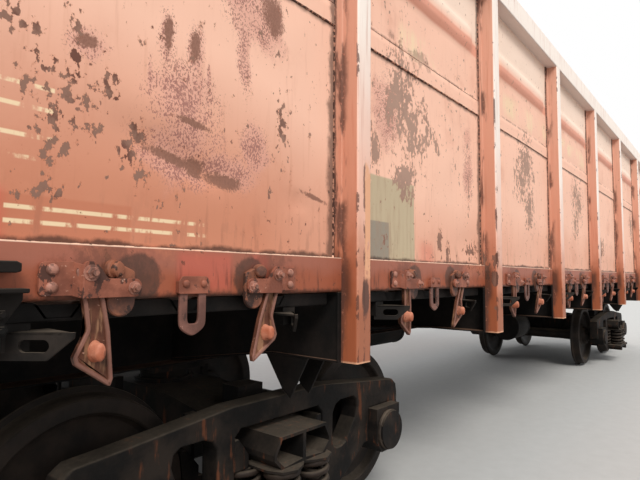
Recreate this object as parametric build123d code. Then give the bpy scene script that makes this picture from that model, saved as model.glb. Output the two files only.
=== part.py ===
from build123d import *
import math
import os

# Four-axle open goods wagon, 1520 mm gauge, with a flat floor of fourteen drop-bottom hatches.
# X runs along the wagon, Y across it and Z up. Lengths are in millimetres. The origin is under the
# middle of the wagon, level with the lowest points of the wheel flanges, so the rail head is at RAIL_Z.

# Running gear
FLANGE_DEPTH = 28.0
RAIL_Z = FLANGE_DEPTH
WHEEL_R = 478.5
BACK_TO_BACK = 1440.0
RIM_W = 130.0
RIM_T = 72.0
WEB_T = 26.0
FLANGE_T = 33.0
HUB_R = 136.0
HUB_PROUD = 18.0
AXLE_R = 86.0
WHEELBASE = 1850.0
JOURNAL_Y = 1018.0
BOX_IN_Y = 930.0
BOX_OUT_Y = 1140.0
BOX_COVER_Y = 1172.0
BOX_COVER_R = 118.0
BOX_GAP = 0.5

# Body frame
HATCH_PITCH = 1730.0
END_HATCH_OFFSET = 890.0
END_FLOOR_LENGTH = 365.0
END_BELT_DEPTH = 45.0
POST_FACE_Y = 1589.0
POST_DEPTH = 100.0
POST_FACE_W = 98.0
POST_DRAFT = 4.0
POST_FLANGE = 60.0
POST_T = 7.0
POST_FOOT_DROP = 324.0
SHEET_T = 5.0
CHORD_T = 10.0
CHORD_Z = RAIL_Z + 1389.0
CHORD_H = 159.0
CHORD_LEG = 100.0
BODY_H = 2391.0
TOP_CHORD_H = 183.0
TOP_CHORD_T = 7.0
SEAM_RISE = 1266.0
LAP_H = 105.0
LAP_T = 4.0
SWAGE_H = 190.0
SWAGE_DEPTH = 26.0
SWAGE_MARGIN = 90.0
END_BELT_H = 150.0
END_BELT_T = 6.0
END_BELT_HEIGHTS = (420.0, 980.0, 1540.0, 2020.0)
RIDGE_RISE = 23.0
RIDGE_H = 168.0
RIDGE_W = 236.0
RIDGE_T = 12.0
SILL_H = 310.0
SILL_W = 350.0
SILL_FLANGE = 125.0
SILL_T = 12.0
BEAM_W = 164.0
BEAM_T = 10.0
BEAM_CLEAR = 4.0

# Hatches
HATCH_LENGTH = 1540.0
HATCH_T = 6.0
HATCH_IN_Y = 134.0
HATCH_OUT_Y = 1460.0
HATCH_GAP = 5.0
HINGE_Y = 140.0
HINGE_DROP = 37.0
HINGE_R = 18.0
HINGE_OFFSET = 300.0
HINGE_PLAY = 0.5
PIN_R = 11.0
PIN_PLAY = 0.55
ARM_W = 40.0
EAR_T = 10.0
HATCH_RIB_DEPTH = 42.0
HATCH_RIB_W = 130.0

AXLE_Z = RAIL_Z + WHEEL_R
POST_FOOT_Z = CHORD_Z - POST_FOOT_DROP
CHORD_TOP_Z = CHORD_Z + CHORD_H
TOP_Z = CHORD_Z + BODY_H
SEAM_Z = CHORD_Z + SEAM_RISE
SWAGE_Z = (SEAM_Z + LAP_H + TOP_Z - TOP_CHORD_H) / 2
RIDGE_TOP_Z = CHORD_Z + RIDGE_RISE
SILL_TOP_Z = RIDGE_TOP_Z - RIDGE_H - SILL_T
SILL_BOTTOM_Z = SILL_TOP_Z - SILL_H
HATCH_TOP_Z = CHORD_Z - HATCH_GAP
HINGE_Z = CHORD_Z - HINGE_DROP
ROOT_Y = POST_FACE_Y - POST_DEPTH
CHORD_FACE_Y = ROOT_Y + CHORD_T
POST_STATIONS = (-2.5, -1.5, -0.5, 0.5, 1.5, 2.5)
POST_XS = [HATCH_PITCH * s for s in POST_STATIONS]
BOLSTER_X = POST_XS[-1]
END_HATCH_X = BOLSTER_X + END_HATCH_OFFSET
HATCH_XS = [-END_HATCH_X] + [HATCH_PITCH * s for s in (-2, -1, 0, 1, 2)] + [END_HATCH_X]
END_FLOOR_X = END_HATCH_X + HATCH_LENGTH / 2 + HATCH_GAP
END_SHEET_X = END_FLOOR_X + END_FLOOR_LENGTH
FRAME_HALF = END_SHEET_X + END_BELT_DEPTH
SEAT_GAP = 0.3
SIDES = (-1, 1)
ENDS = (-1, 1)

NODES = {}


def keep(name, *solids):
    """Files solids under a node's name."""
    NODES.setdefault(name, []).extend(solids)


def outline_face(points):
    return Face(Wire.make_polygon([Vector(*p) for p in points], close=True))


def along_x(outline, x0, x1):
    """A (y, z) outline pulled from x0 to x1."""
    return Solid.extrude(outline_face([(x0, y, z) for y, z in outline]), Vector(x1 - x0, 0, 0))


def along_y(outline, y0, y1):
    """An (x, z) outline pulled from y0 to y1."""
    return Solid.extrude(outline_face([(x, y0, z) for x, z in outline]), Vector(0, y1 - y0, 0))


def along_z(outline, z0, z1):
    """An (x, y) outline pulled from z0 to z1."""
    return Solid.extrude(outline_face([(x, y, z0) for x, y in outline]), Vector(0, 0, z1 - z0))


def block(xs, ys, zs):
    """A block between two corners, each given as a pair of values in either order."""
    (x0, x1), (y0, y1), (z0, z1) = sorted(xs), sorted(ys), sorted(zs)
    return Pos(x0, y0, z0) * Solid.make_box(x1 - x0, y1 - y0, z1 - z0)


def band(path, thickness):
    """The closed outline of a strip with this thickness to the left of a path of points."""
    inner = []
    for i, (px, py) in enumerate(path):
        normals = []
        for (ax, ay), (bx, by) in zip(path[max(i - 1, 0):i + 1], path[max(i, 1):i + 2]):
            length = math.hypot(bx - ax, by - ay)
            normals.append((-(by - ay) / length, (bx - ax) / length))
        nx = sum(n[0] for n in normals) / len(normals)
        ny = sum(n[1] for n in normals) / len(normals)
        scale = thickness / (nx * nx + ny * ny)
        inner.append((px + nx * scale, py + ny * scale))
    return list(path) + inner[::-1]


def flipped(outline, side):
    """An outline with its first value mirrored on the negative side."""
    return [(side * a, b) for a, b in outline]


def both_ways(outline):
    """A closed outline from its half: the half itself, then its mirror about the second axis."""
    return list(outline) + [(-a, b) for a, b in reversed(outline) if abs(a) > 1e-6]


def octagon(cx, cy, radius):
    """Corners of an upright octagon, given the radius to its corners."""
    turns = [math.radians(22.5 + 45 * i) for i in range(8)]
    return [(cx + radius * math.cos(a), cy + radius * math.sin(a)) for a in turns]


def fused(first, *rest):
    """One solid from pieces that share faces or volume."""
    body = first
    for piece in rest:
        body = body + piece
    return body.solid() if isinstance(body, (Compound, Part)) else body


def rod(p0, p1, radius):
    """A round bar between two points."""
    start = Vector(*p0)
    run = Vector(*p1) - start
    return Solid.make_cylinder(radius, run.length, Plane(origin=start, z_dir=run))


# Wheelsets


def wheelset_profile():
    """Half of the turned section of an axle with its two wheels: (y, radius)."""
    back = BACK_TO_BACK / 2
    front = back + RIM_W
    rim_r = WHEEL_R - RIM_T
    web_back = back + (RIM_W - WEB_T) / 2
    web_front = web_back + WEB_T
    return [
        (0, 0), (0, AXLE_R), (web_back, AXLE_R), (web_back, rim_r), (back, rim_r),
        (back, WHEEL_R + FLANGE_DEPTH), (back + FLANGE_T, WHEEL_R), (front, WHEEL_R), (front, rim_r),
        (web_front, rim_r), (web_front, HUB_R), (front + HUB_PROUD, HUB_R), (front + HUB_PROUD, AXLE_R),
        (BOX_IN_Y - BOX_GAP, AXLE_R), (BOX_IN_Y - BOX_GAP, 0),
    ]


def make_wheelset():
    half = wheelset_profile()
    whole = half[1:] + [(-y, r) for y, r in reversed(half[1:])]
    face = outline_face([(r, y, 0) for y, r in whole])
    return Solid.revolve(face, 360, Axis.Y)


wheelset = make_wheelset()
WHEELSET_XS = [end * BOLSTER_X + step * WHEELBASE / 2 for end in ENDS for step in (-1, 1)]
for number, x in enumerate(WHEELSET_XS, start=1):
    keep(f"wheelset_{number}", Pos(x, 0, AXLE_Z) * wheelset)

# Bogies: cast side frames, bolster, wedges, springs, axle boxes and brake gear

CREST_Z = RAIL_Z + 845.0
CREST_HALF = 330.0
SHOULDER_DROP = 63.0
END_DROP = 77.0
FRAME_T = 120.0
WINDOW_HALF = 322.0
WINDOW_TOP_Z = RAIL_Z + 735.0
WINDOW_CORNER = 42.0
COLUMN_W = 100.0
JAW_W = 45.0
JAW_OUT_W = 70.0
STRUT_W = 82.0
SPRING_R = 96.0
SPRING_H = 249.0
SPRING_SEAT_Z = RAIL_Z + 285.0
SEAT_T = 40.0
SEAT_HALF_Y = 262.0
BOX_W = 268.0
BOX_UP = 145.0
BOX_DOWN = 130.0
BOX_CHIN = 60.0
SPRING_TOP_Z = SPRING_SEAT_Z + SPRING_H
BOX_TOP_Z = AXLE_Z + BOX_UP
BOX_BOTTOM_Z = AXLE_Z - BOX_DOWN
AXLE_DX = WHEELBASE / 2

# The side window of a side frame: share of its width from the column outwards, height above the spring seat
SIDE_WINDOW = (
    (0.00, 220.0), (0.06, 189.0), (0.18, 175.0), (0.36, 175.0), (0.54, 191.0), (0.91, 311.0),
    (1.00, 371.0), (0.96, 421.0), (0.82, 444.0), (0.32, 444.0), (0.12, 425.0), (0.01, 383.0),
)


def side_frame():
    """One cast side frame, seen from the side, with its spring opening and its two side windows."""
    half_box = BOX_W / 2 + BOX_GAP
    jaw_in, jaw_out = AXLE_DX - half_box - JAW_W, AXLE_DX + half_box + JAW_OUT_W
    lip_z = AXLE_Z - BOX_CHIN
    half = [
        (0, CREST_Z), (CREST_HALF, CREST_Z), (AXLE_DX, CREST_Z - SHOULDER_DROP),
        (jaw_out - 55, CREST_Z - END_DROP), (jaw_out - 12, CREST_Z - END_DROP - 34),
        (jaw_out, CREST_Z - END_DROP - 90),
        (jaw_out, AXLE_Z - 30), (AXLE_DX + half_box, AXLE_Z - 30),
        (AXLE_DX + half_box, BOX_TOP_Z + BOX_GAP),
        (AXLE_DX - half_box, BOX_TOP_Z + BOX_GAP), (AXLE_DX - half_box, lip_z), (jaw_in, lip_z),
        (jaw_in - 60, lip_z - 40), (WINDOW_HALF + 128, SPRING_SEAT_Z - 55),
        (WINDOW_HALF + 60, SPRING_SEAT_Z - 92),
        (0, SPRING_SEAT_Z - 92),
    ]
    y0, y1 = JOURNAL_Y - FRAME_T / 2, JOURNAL_Y + FRAME_T / 2
    body = along_y(both_ways(half), y0, y1)
    opening = [
        (0, WINDOW_TOP_Z), (WINDOW_HALF - WINDOW_CORNER, WINDOW_TOP_Z),
        (WINDOW_HALF, WINDOW_TOP_Z - WINDOW_CORNER),
        (WINDOW_HALF, SPRING_SEAT_Z), (0, SPRING_SEAT_Z),
    ]
    body -= along_y(both_ways(opening), y0 - 1, y1 + 1)
    near, far = WINDOW_HALF + COLUMN_W, jaw_in - STRUT_W
    window = [(near + share * (far - near), SPRING_SEAT_Z + rise) for share, rise in SIDE_WINDOW]
    for end in ENDS:
        body -= along_y(flipped(window, end), y0 - 1, y1 + 1)
    seat_ys = (JOURNAL_Y - SEAT_HALF_Y, JOURNAL_Y + SEAT_HALF_Y)
    seat = block((-WINDOW_HALF, WINDOW_HALF), seat_ys, (SPRING_SEAT_Z - SEAT_T, SPRING_SEAT_Z))
    rib_zs = (SPRING_SEAT_Z - 92, SPRING_SEAT_Z - SEAT_T)
    ribs = [block((x - 10, x + 10), (y1, JOURNAL_Y + SEAT_HALF_Y), rib_zs)
            for x in (-200, 200)]
    return fused(body, seat, *ribs)


CENTRE_BOWL_Z = RAIL_Z + 790.0
BOLSTER_HALF_W = 225.0
BOLSTER_END_Y = 1230.0
BOLSTER_NECK_Y = 860.0
BOLSTER_END_H = 163.0
BOLSTER_WALL = 22.0
BEARING_Y = 765.0
BEARING_HALF = 65.0
SPRING_OFFSET_Y = 164.0
SPRING_OFFSET_X = 110.0
CAP_T = 12.0
BOWL_R = 158.0
BOWL_RIM = 27.0


def bogie_bolster():
    """The swinging cross member, deep in the middle, with two open chambers in each end."""
    end_top = SPRING_TOP_Z + BOLSTER_END_H
    bottom = SPRING_TOP_Z
    middle = [
        (0, CENTRE_BOWL_Z), (200, CENTRE_BOWL_Z), (430, CENTRE_BOWL_Z - 20), (BOLSTER_NECK_Y, end_top),
        (BOLSTER_NECK_Y, bottom), (740, bottom), (560, bottom - 90), (0, bottom - 110),
    ]
    body = along_x(both_ways(middle), -BOLSTER_HALF_W, BOLSTER_HALF_W)
    shell = [
        (0, end_top), (172, end_top), (211, bottom + 86), (211, bottom + 60), (150, bottom), (0, bottom),
    ]
    wall = BOLSTER_WALL
    chamber = [
        (wall / 2, end_top - wall * 0.7), (160, end_top - wall * 0.7),
        (194, bottom + 84), (194, bottom + 66),
        (142, bottom + wall * 0.8), (wall / 2, bottom + wall * 1.3),
    ]
    cap = [
        (0, JOURNAL_Y), (214, JOURNAL_Y), (214, JOURNAL_Y + SPRING_OFFSET_Y),
        (184, JOURNAL_Y + SPRING_OFFSET_Y + 74),
        (SPRING_OFFSET_X, BOLSTER_END_Y + 56),
        (36, JOURNAL_Y + SPRING_OFFSET_Y + 74), (0, BOLSTER_END_Y - 4),
    ]
    pieces = []
    for side in SIDES:
        tip = along_y(both_ways(shell), side * (BOLSTER_NECK_Y - 1), side * BOLSTER_END_Y)
        for lane in (-1, 1):
            tip -= along_y(flipped(chamber, lane), side * (BOLSTER_NECK_Y + 20), side * (BOLSTER_END_Y + 1))
        plan = [(a, side * b) for a, b in both_ways(cap)]
        pieces += [tip, along_z(plan, bottom, bottom + CAP_T)]
        pad_ys = (side * (BEARING_Y - BEARING_HALF), side * (BEARING_Y + BEARING_HALF))
        pieces.append(block((-90, 90), pad_ys, (end_top, CENTRE_BOWL_Z + 72)))
    rim = Pos(0, 0, CENTRE_BOWL_Z) * Solid.make_cylinder(BOWL_R + BOWL_RIM, 24)
    rim -= Pos(0, 0, CENTRE_BOWL_Z) * Solid.make_cylinder(BOWL_R, 25)
    return fused(body, rim, *pieces)


def friction_wedges():
    """The four wedges between the bolster and the columns of the side frames."""
    near, far = BOLSTER_HALF_W + SEAT_GAP, WINDOW_HALF - SEAT_GAP
    low = SPRING_TOP_Z + SEAT_GAP
    outline = [(near, low), (far, low), (far, low + 150), (far - 30, low + 150), (near, low + 64)]
    ys = (JOURNAL_Y - FRAME_T / 2 + 6, JOURNAL_Y + FRAME_T / 2 - 6)
    return [along_y(flipped(outline, end), side * ys[0], side * ys[1]) for side in SIDES for end in ENDS]


# One row of the spring nest for each line: offset of the row from the journal line, offsets along the frame
SPRING_ROWS = (
    (-SPRING_OFFSET_Y, (-SPRING_OFFSET_X, SPRING_OFFSET_X)),
    (0.0, (-216.0, 0.0, 216.0)),
    (SPRING_OFFSET_Y, (-SPRING_OFFSET_X, SPRING_OFFSET_X)),
)


def spring_nests():
    coil = along_z(octagon(0, 0, SPRING_R), 0, SPRING_H)
    places = [(dx, side * (JOURNAL_Y + dy)) for side in SIDES for dy, row in SPRING_ROWS for dx in row]
    return [Pos(x, y, SPRING_SEAT_Z) * coil for x, y in places]


def axle_box():
    """A closed roller bearing box with ears under the jaws and a round front cover."""
    half = BOX_W / 2
    outline = [
        (half, BOX_TOP_Z), (half, AXLE_Z - BOX_CHIN), (half - 60, BOX_BOTTOM_Z), (0, BOX_BOTTOM_Z),
    ]
    body = along_y(both_ways([(0, BOX_TOP_Z)] + outline), BOX_IN_Y, BOX_OUT_Y)
    return fused(body, rod((0, BOX_OUT_Y, AXLE_Z), (0, BOX_COVER_Y, AXLE_Z), BOX_COVER_R))


SHOE_Y = BACK_TO_BACK / 2 + RIM_W / 2
SHOE_HALF = 40.0
BRAKE_BEAM_Z = AXLE_Z - 40.0
BAR_HALF = 30.0
BAR_SETBACK = 112.0
HANGER_T = 25.0
HANGER_Z = RAIL_Z + 770.0
LEVER_TOP_Z = RAIL_Z + 842.0
LEVER_T = 22.0


def brake_beam():
    """A triangular brake beam with its shoes, hangers and upright lever, for the +X side of a bogie."""
    tread_x = AXLE_DX - WHEEL_R
    bar_x = tread_x - BAR_SETBACK
    z = BRAKE_BEAM_Z
    beam = block((bar_x - BAR_HALF, bar_x + BAR_HALF), (-SHOE_Y - SHOE_HALF, SHOE_Y + SHOE_HALF),
                 (z - BAR_HALF, z + BAR_HALF))
    truss_y, truss_x = SHOE_Y - 60, bar_x - 80
    truss = [
        (bar_x, truss_y), (truss_x, 40), (truss_x, -40), (bar_x, -truss_y),
        (bar_x, 90 - truss_y), (truss_x + 35, -25), (truss_x + 35, 25), (bar_x, truss_y - 90),
    ]
    lever = [
        (bar_x + 26, z - 70), (bar_x + 26, z + 30), (bar_x + 8, LEVER_TOP_Z), (bar_x - 42, LEVER_TOP_Z),
        (bar_x - 26, z + 30), (bar_x - 26, z - 70),
    ]
    pieces = [beam, along_z(truss, z - 20, z + 20), along_y(lever, -LEVER_T / 2, LEVER_T / 2)]
    shoe = [
        (bar_x, z + 80), (bar_x + 75, z + 170), (tread_x - 2, z + 170), (tread_x - 18, z + 40),
        (tread_x - 14, z - 100), (bar_x + 60, z - 130), (bar_x, z - 60),
    ]
    for side in SIDES:
        pieces.append(along_y(shoe, side * (SHOE_Y - SHOE_HALF), side * (SHOE_Y + SHOE_HALF)))
        hanger_y = SHOE_Y - SHOE_HALF + 5
        hanger_ys = (side * hanger_y, side * (hanger_y + HANGER_T))
        pieces.append(block((bar_x - 8, bar_x + 12), hanger_ys, (z, HANGER_Z)))
        bracket_ys = (side * hanger_y, side * (JOURNAL_Y - FRAME_T / 2))
        pieces.append(block((bar_x - 8, bar_x + 52), bracket_ys, (HANGER_Z - 30, HANGER_Z)))
    return fused(*pieces)


def brake_strut():
    """The rod under the bolster that joins the two upright levers."""
    reach = AXLE_DX - WHEEL_R - BAR_SETBACK - 26 - SEAT_GAP
    z = BRAKE_BEAM_Z - 50
    return block((-reach, reach), (-16, 16), (z - 16, z + 16))


for tag, end in (("a", -1), ("b", 1)):
    here = Pos(end * BOLSTER_X, 0, 0)
    frame = side_frame()
    keep(f"side_frames_{tag}", here * frame, here * mirror(frame, Plane.XZ))
    keep(f"bogie_bolster_{tag}", here * bogie_bolster())
    keep(f"wedges_{tag}", *[here * wedge for wedge in friction_wedges()])
    keep(f"springs_{tag}", *[here * coil for coil in spring_nests()])
    box = axle_box()
    for axle_x in (-AXLE_DX, AXLE_DX):
        there = here * Pos(axle_x, 0, 0)
        keep(f"axle_boxes_{tag}", there * box, there * mirror(box, Plane.XZ))
    beam = brake_beam()
    keep(f"brake_beams_{tag}", here * beam, here * mirror(beam, Plane.YZ), here * brake_strut())

# Underframe


def centre_sill():
    """Two deep zed bars that meet over the middle, as one hat section open below."""
    web = SILL_W / 2
    toe = web + SILL_FLANGE
    path = [
        (-toe, SILL_BOTTOM_Z), (-web, SILL_BOTTOM_Z), (-web, SILL_TOP_Z),
        (web, SILL_TOP_Z), (web, SILL_BOTTOM_Z), (toe, SILL_BOTTOM_Z),
    ]
    return along_x(band(path, SILL_T), -FRAME_HALF + BEAM_T, FRAME_HALF - BEAM_T)


def ridge_beam():
    """The joist on top of the centre sill, with the ears and pins that carry the hatches."""
    half, web, flange = RIDGE_W / 2, RIDGE_T / 2, RIDGE_T
    base = SILL_TOP_Z + SILL_T
    section = [
        (half, RIDGE_TOP_Z), (half, RIDGE_TOP_Z - flange), (web, RIDGE_TOP_Z - flange),
        (web, base + flange), (half, base + flange), (half, base),
    ]
    joist = along_x(both_ways(section), -END_SHEET_X + SHEET_T, END_SHEET_X - SHEET_T)
    ear = [
        (web - 1, base + flange - 1), (half, base + flange - 1), (HINGE_Y + HINGE_R, HINGE_Z - HINGE_R),
        (HINGE_Y + HINGE_R, HINGE_Z + HINGE_R), (web - 1, HINGE_Z + HINGE_R),
    ]
    near = ARM_W / 2 + HINGE_PLAY
    parts = []
    for side in SIDES:
        pin = octagon(side * HINGE_Y, HINGE_Z, PIN_R)
        for x in HATCH_XS:
            for hand in (-1, 1):
                arm_x = x + hand * HINGE_OFFSET
                parts.append(along_x(pin, arm_x - near - EAR_T - 8, arm_x + near + EAR_T + 8))
                for lane in (-1, 1):
                    xs = [arm_x + lane * edge for edge in (near, near + EAR_T)]
                    parts.append(along_x(flipped(ear, side), *xs))
    return fused(joist, *parts)


BEAM_IN_Y = SILL_W / 2 + SILL_T
BEAM_FLAT = 420.0
CROSS_DROP = 55.0
BOLSTER_FOOT_RISE = 14.0
STOP_T = 12.0
# The pointed stop plate under a bolster beam: distance from the middle, drop below the beam's foot
STOP_PLATE = ((1311.0, 0.0), (1196.0, 208.0), (1140.0, 168.0), (1020.0, 0.0))


def beam_half(side, xs, webs, foot_in_z, stops=()):
    """Half of a cross member on one side: top plate, webs and a bottom plate that rises outwards."""
    y_in, y_out = BEAM_IN_Y, ROOT_Y
    top_ys = (side * (RIDGE_W / 2 + BEAM_CLEAR), side * y_out)
    foot_line = [(y_in, foot_in_z), (y_out - BEAM_FLAT, POST_FOOT_Z), (y_out, POST_FOOT_Z)]
    raised = [(y, z + BEAM_T) for y, z in reversed(foot_line)]
    web = [(y_in, CHORD_Z - BEAM_T), (y_out, CHORD_Z - BEAM_T)] + raised
    pieces = [
        block(xs, top_ys, (CHORD_Z - BEAM_T, CHORD_Z)),
        along_x(flipped(foot_line + raised, side), *xs),
        block(xs, (side * y_out, side * CHORD_FACE_Y), (POST_FOOT_Z, CHORD_Z)),
    ]
    for web_x in webs:
        pieces.append(along_x(flipped(web, side), web_x - BEAM_T / 2, web_x + BEAM_T / 2))
    for stop_x in stops:
        stop = [(side * y, POST_FOOT_Z - drop) for y, drop in STOP_PLATE]
        pieces.append(along_x(stop, stop_x - STOP_T / 2, stop_x + STOP_T / 2))
    return fused(*pieces)


keep("centre_sill", centre_sill())
keep("ridge_beam", ridge_beam())
for x in POST_XS:
    xs = (x - BEAM_W / 2, x + BEAM_W / 2)
    for side in SIDES:
        if abs(x) == BOLSTER_X:
            webs = (x - BEAM_W / 2 + STOP_T, x + BEAM_W / 2 - STOP_T)
            keep("bolster_beams", beam_half(side, xs, webs, SILL_BOTTOM_Z + BOLSTER_FOOT_RISE, webs))
        else:
            keep("cross_beams", beam_half(side, xs, (x,), POST_FOOT_Z - CROSS_DROP))

CENTRE_PLATE_R = 151.0
CENTRE_CASTING_HALF = 190.0
CENTRE_CASTING_DROP = 60.0
for end in ENDS:
    x = end * BOLSTER_X
    casting_zs = (SILL_BOTTOM_Z - CENTRE_CASTING_DROP, SILL_TOP_Z - 40)
    casting_xs = (x - CENTRE_CASTING_HALF, x + CENTRE_CASTING_HALF)
    casting = block(casting_xs, (-SILL_W / 2, SILL_W / 2), casting_zs)
    plate_h = SILL_BOTTOM_Z - CENTRE_CASTING_DROP - CENTRE_BOWL_Z
    plate = Pos(x, 0, CENTRE_BOWL_Z + SEAT_GAP) * Solid.make_cylinder(CENTRE_PLATE_R, plate_h)
    keep("centre_plates", fused(casting, plate))

COUPLER_Z = SILL_BOTTOM_Z + 138.0
SHANK_HALF_W = 65.0
SHANK_HALF_H = 80.0
HEAD_HALF_H = 130.0
HEAD_LENGTH = 480.0
HEAD_GAP = 20.0
STRIKER_DEPTH = 60.0
SHANK_TAIL = 300.0
COUPLER_REACH = FRAME_HALF + STRIKER_DEPTH + HEAD_GAP + HEAD_LENGTH


def end_beam(end):
    """The pressed headstock across one end, deep in the middle round the coupler."""
    xs = (end * (FRAME_HALF - BEAM_T), end * FRAME_HALF)
    shelf_y = CHORD_FACE_Y - CHORD_LEG
    half_face = [
        (shelf_y, CHORD_Z + CHORD_T), (shelf_y, CHORD_Z), (ROOT_Y, CHORD_Z), (ROOT_Y, CHORD_Z - 259),
        (700, CHORD_Z - 299), (420, SILL_BOTTOM_Z - 10),
    ]
    plate = along_x(both_ways(half_face), *xs)
    hole = (COUPLER_Z - SHANK_HALF_H - 30, COUPLER_Z + SHANK_HALF_H + 30)
    plate -= block((xs[0] - end, xs[1] + end), (-SHANK_HALF_W * 2, SHANK_HALF_W * 2), hole)
    pieces = [plate]
    for side in SIDES:
        shelf_xs = (end * (END_SHEET_X - SHEET_T - 40), end * (FRAME_HALF - BEAM_T))
        ys = (side * (RIDGE_W / 2 + BEAM_CLEAR), side * shelf_y)
        pieces.append(block(shelf_xs, ys, (CHORD_Z, CHORD_Z + CHORD_T)))
    return fused(*pieces)


for end in ENDS:
    keep("end_beams", end_beam(end))
    for side in SIDES:
        xs = (end * END_FLOOR_X, end * (END_SHEET_X - SHEET_T))
        ys = (side * (RIDGE_W / 2 + BEAM_CLEAR), side * (ROOT_Y - SHEET_T - 1))
        keep("end_floors", block(xs, ys, (CHORD_Z + CHORD_T, CHORD_Z + CHORD_T + SHEET_T)))

# Sides


def bottom_chord(side):
    path = [(CHORD_FACE_Y, CHORD_TOP_Z), (CHORD_FACE_Y, CHORD_Z), (CHORD_FACE_Y - CHORD_LEG, CHORD_Z)]
    return along_x(flipped(band(path, -CHORD_T), side), -FRAME_HALF, FRAME_HALF)


def side_post(side, x):
    """A pressed omega post. Its flanges stop at the chord, and its hat runs on down to the beam's foot."""
    face, root = POST_FACE_W / 2, POST_FACE_W / 2 + POST_DRAFT
    edge = root + POST_FLANGE
    front = POST_FACE_Y - POST_T
    hat = [(-edge, ROOT_Y), (-root, ROOT_Y), (-face, front), (face, front), (root, ROOT_Y), (edge, ROOT_Y)]
    low = [(-root, CHORD_FACE_Y), (-face, front), (face, front), (root, CHORD_FACE_Y)]
    upper = along_z([(x + a, side * b) for a, b in band(hat, POST_T)], CHORD_TOP_Z, TOP_Z - TOP_CHORD_H)
    lower = along_z([(x + a, side * b) for a, b in band(low, POST_T)], POST_FOOT_Z, CHORD_TOP_Z)
    return fused(upper, lower)


CORNER_EDGE_X = END_SHEET_X - 180
CORNER_REACH = 60.0
CORNER_BEVEL = 30.0


def corner_post(side, end):
    """The pressed post round a corner of the body."""
    root_x = CORNER_EDGE_X + POST_FLANGE
    out_x, out_y = FRAME_HALF - POST_T, POST_FACE_Y - POST_T
    path = [
        (CORNER_EDGE_X, ROOT_Y), (root_x, ROOT_Y),
        (root_x + POST_DRAFT, out_y), (out_x - CORNER_BEVEL, out_y),
        (out_x, out_y - CORNER_BEVEL), (out_x, ROOT_Y - CORNER_REACH),
        (END_SHEET_X, ROOT_Y - CORNER_REACH - POST_DRAFT),
    ]
    outline = [(end * a, side * b) for a, b in band(path, POST_T)]
    return along_z(outline, CHORD_TOP_Z, TOP_Z - TOP_CHORD_H)


POST_REACH = POST_FACE_W / 2 + POST_DRAFT + POST_FLANGE
BAYS = list(zip(
    [-CORNER_EDGE_X] + [x + POST_REACH for x in POST_XS],
    [x - POST_REACH for x in POST_XS] + [CORNER_EDGE_X],
))


def upper_sheet(side):
    """The upper side sheet with one long pressed swage and one lap strip in each bay."""
    y_in, y_out = ROOT_Y - SHEET_T, ROOT_Y
    crest = y_out + SWAGE_DEPTH
    z0, z1 = SWAGE_Z - SWAGE_H / 2, SWAGE_Z + SWAGE_H / 2
    slope = SWAGE_H / 4
    swage = [(y_out - 1, z0), (crest, z0 + slope), (crest, z1 - slope), (y_out - 1, z1)]
    inside = crest - SHEET_T
    hollow = [(y_in - 1, z0 + 6), (inside, z0 + slope + 6), (inside, z1 - slope - 6), (y_in - 1, z1 - 6)]
    sheet_zs = (SEAM_Z + 0.5, TOP_Z - TOP_CHORD_H)
    sheet = block((-END_SHEET_X, END_SHEET_X), (side * y_in, side * y_out), sheet_zs)
    for left, right in BAYS:
        x0, x1 = left + SWAGE_MARGIN, right - SWAGE_MARGIN
        sheet = sheet + along_x(flipped(swage, side), x0, x1)
        sheet = sheet - along_x(flipped(hollow, side), x0 + SHEET_T, x1 - SHEET_T)
        lap_ys = (side * y_out, side * (y_out + LAP_T))
        sheet = sheet + block((left + 2, right - 2), lap_ys, (SEAM_Z + 0.5, SEAM_Z + LAP_H))
    return sheet.solid()


for side in SIDES:
    keep("bottom_chords", bottom_chord(side))
    for x in POST_XS:
        keep("side_posts", side_post(side, x))
    for end in ENDS:
        keep("corner_posts", corner_post(side, end))
    ys = (side * (ROOT_Y - SHEET_T), side * ROOT_Y)
    keep("side_sheets_lower", block((-END_SHEET_X, END_SHEET_X), ys, (CHORD_Z + CHORD_T, SEAM_Z)))
    keep("side_sheets_upper", upper_sheet(side))


def top_chords():
    """The box rail round the top of the body, as one welded frame."""
    z0 = TOP_Z - TOP_CHORD_H
    inner_x, inner_y = END_SHEET_X - SHEET_T, ROOT_Y - SHEET_T

    def ring(out, into, low, high):
        outer_x, outer_y = FRAME_HALF - out, POST_FACE_Y - out
        body = block((-outer_x, outer_x), (-outer_y, outer_y), (low, high))
        gap_xs, gap_ys = (-inner_x - into, inner_x + into), (-inner_y - into, inner_y + into)
        return body - block(gap_xs, gap_ys, (low - 1, high + 1))

    shell = ring(0, 0, z0, TOP_Z)
    hollow = ring(TOP_CHORD_T, TOP_CHORD_T, z0 + TOP_CHORD_T, TOP_Z - TOP_CHORD_T)
    return (shell - hollow).solid()


def end_wall(end):
    """The end sheet with its pressed trough belts."""
    inner_y = ROOT_Y - SHEET_T
    xs = (end * (END_SHEET_X - SHEET_T), end * END_SHEET_X)
    wall = block(xs, (-inner_y, inner_y), (CHORD_Z + CHORD_T, TOP_Z - TOP_CHORD_H))
    belt_y = ROOT_Y - CORNER_REACH - 12
    depth = END_BELT_DEPTH - END_BELT_T
    pieces = [wall]
    for height in END_BELT_HEIGHTS:
        z0, z1 = CHORD_Z + height, CHORD_Z + height + END_BELT_H
        path = [(0, z0), (depth, z0 + 35), (depth, z1 - 35), (0, z1)]
        outline = [(end * (END_SHEET_X + a), z) for a, z in band(path, END_BELT_T)]
        pieces.append(along_y(outline, -belt_y, belt_y))
    return fused(*pieces)


keep("top_chords", top_chords())
for end in ENDS:
    keep("end_walls", end_wall(end))

# Hatches

LUG_T = 12.0
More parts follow.
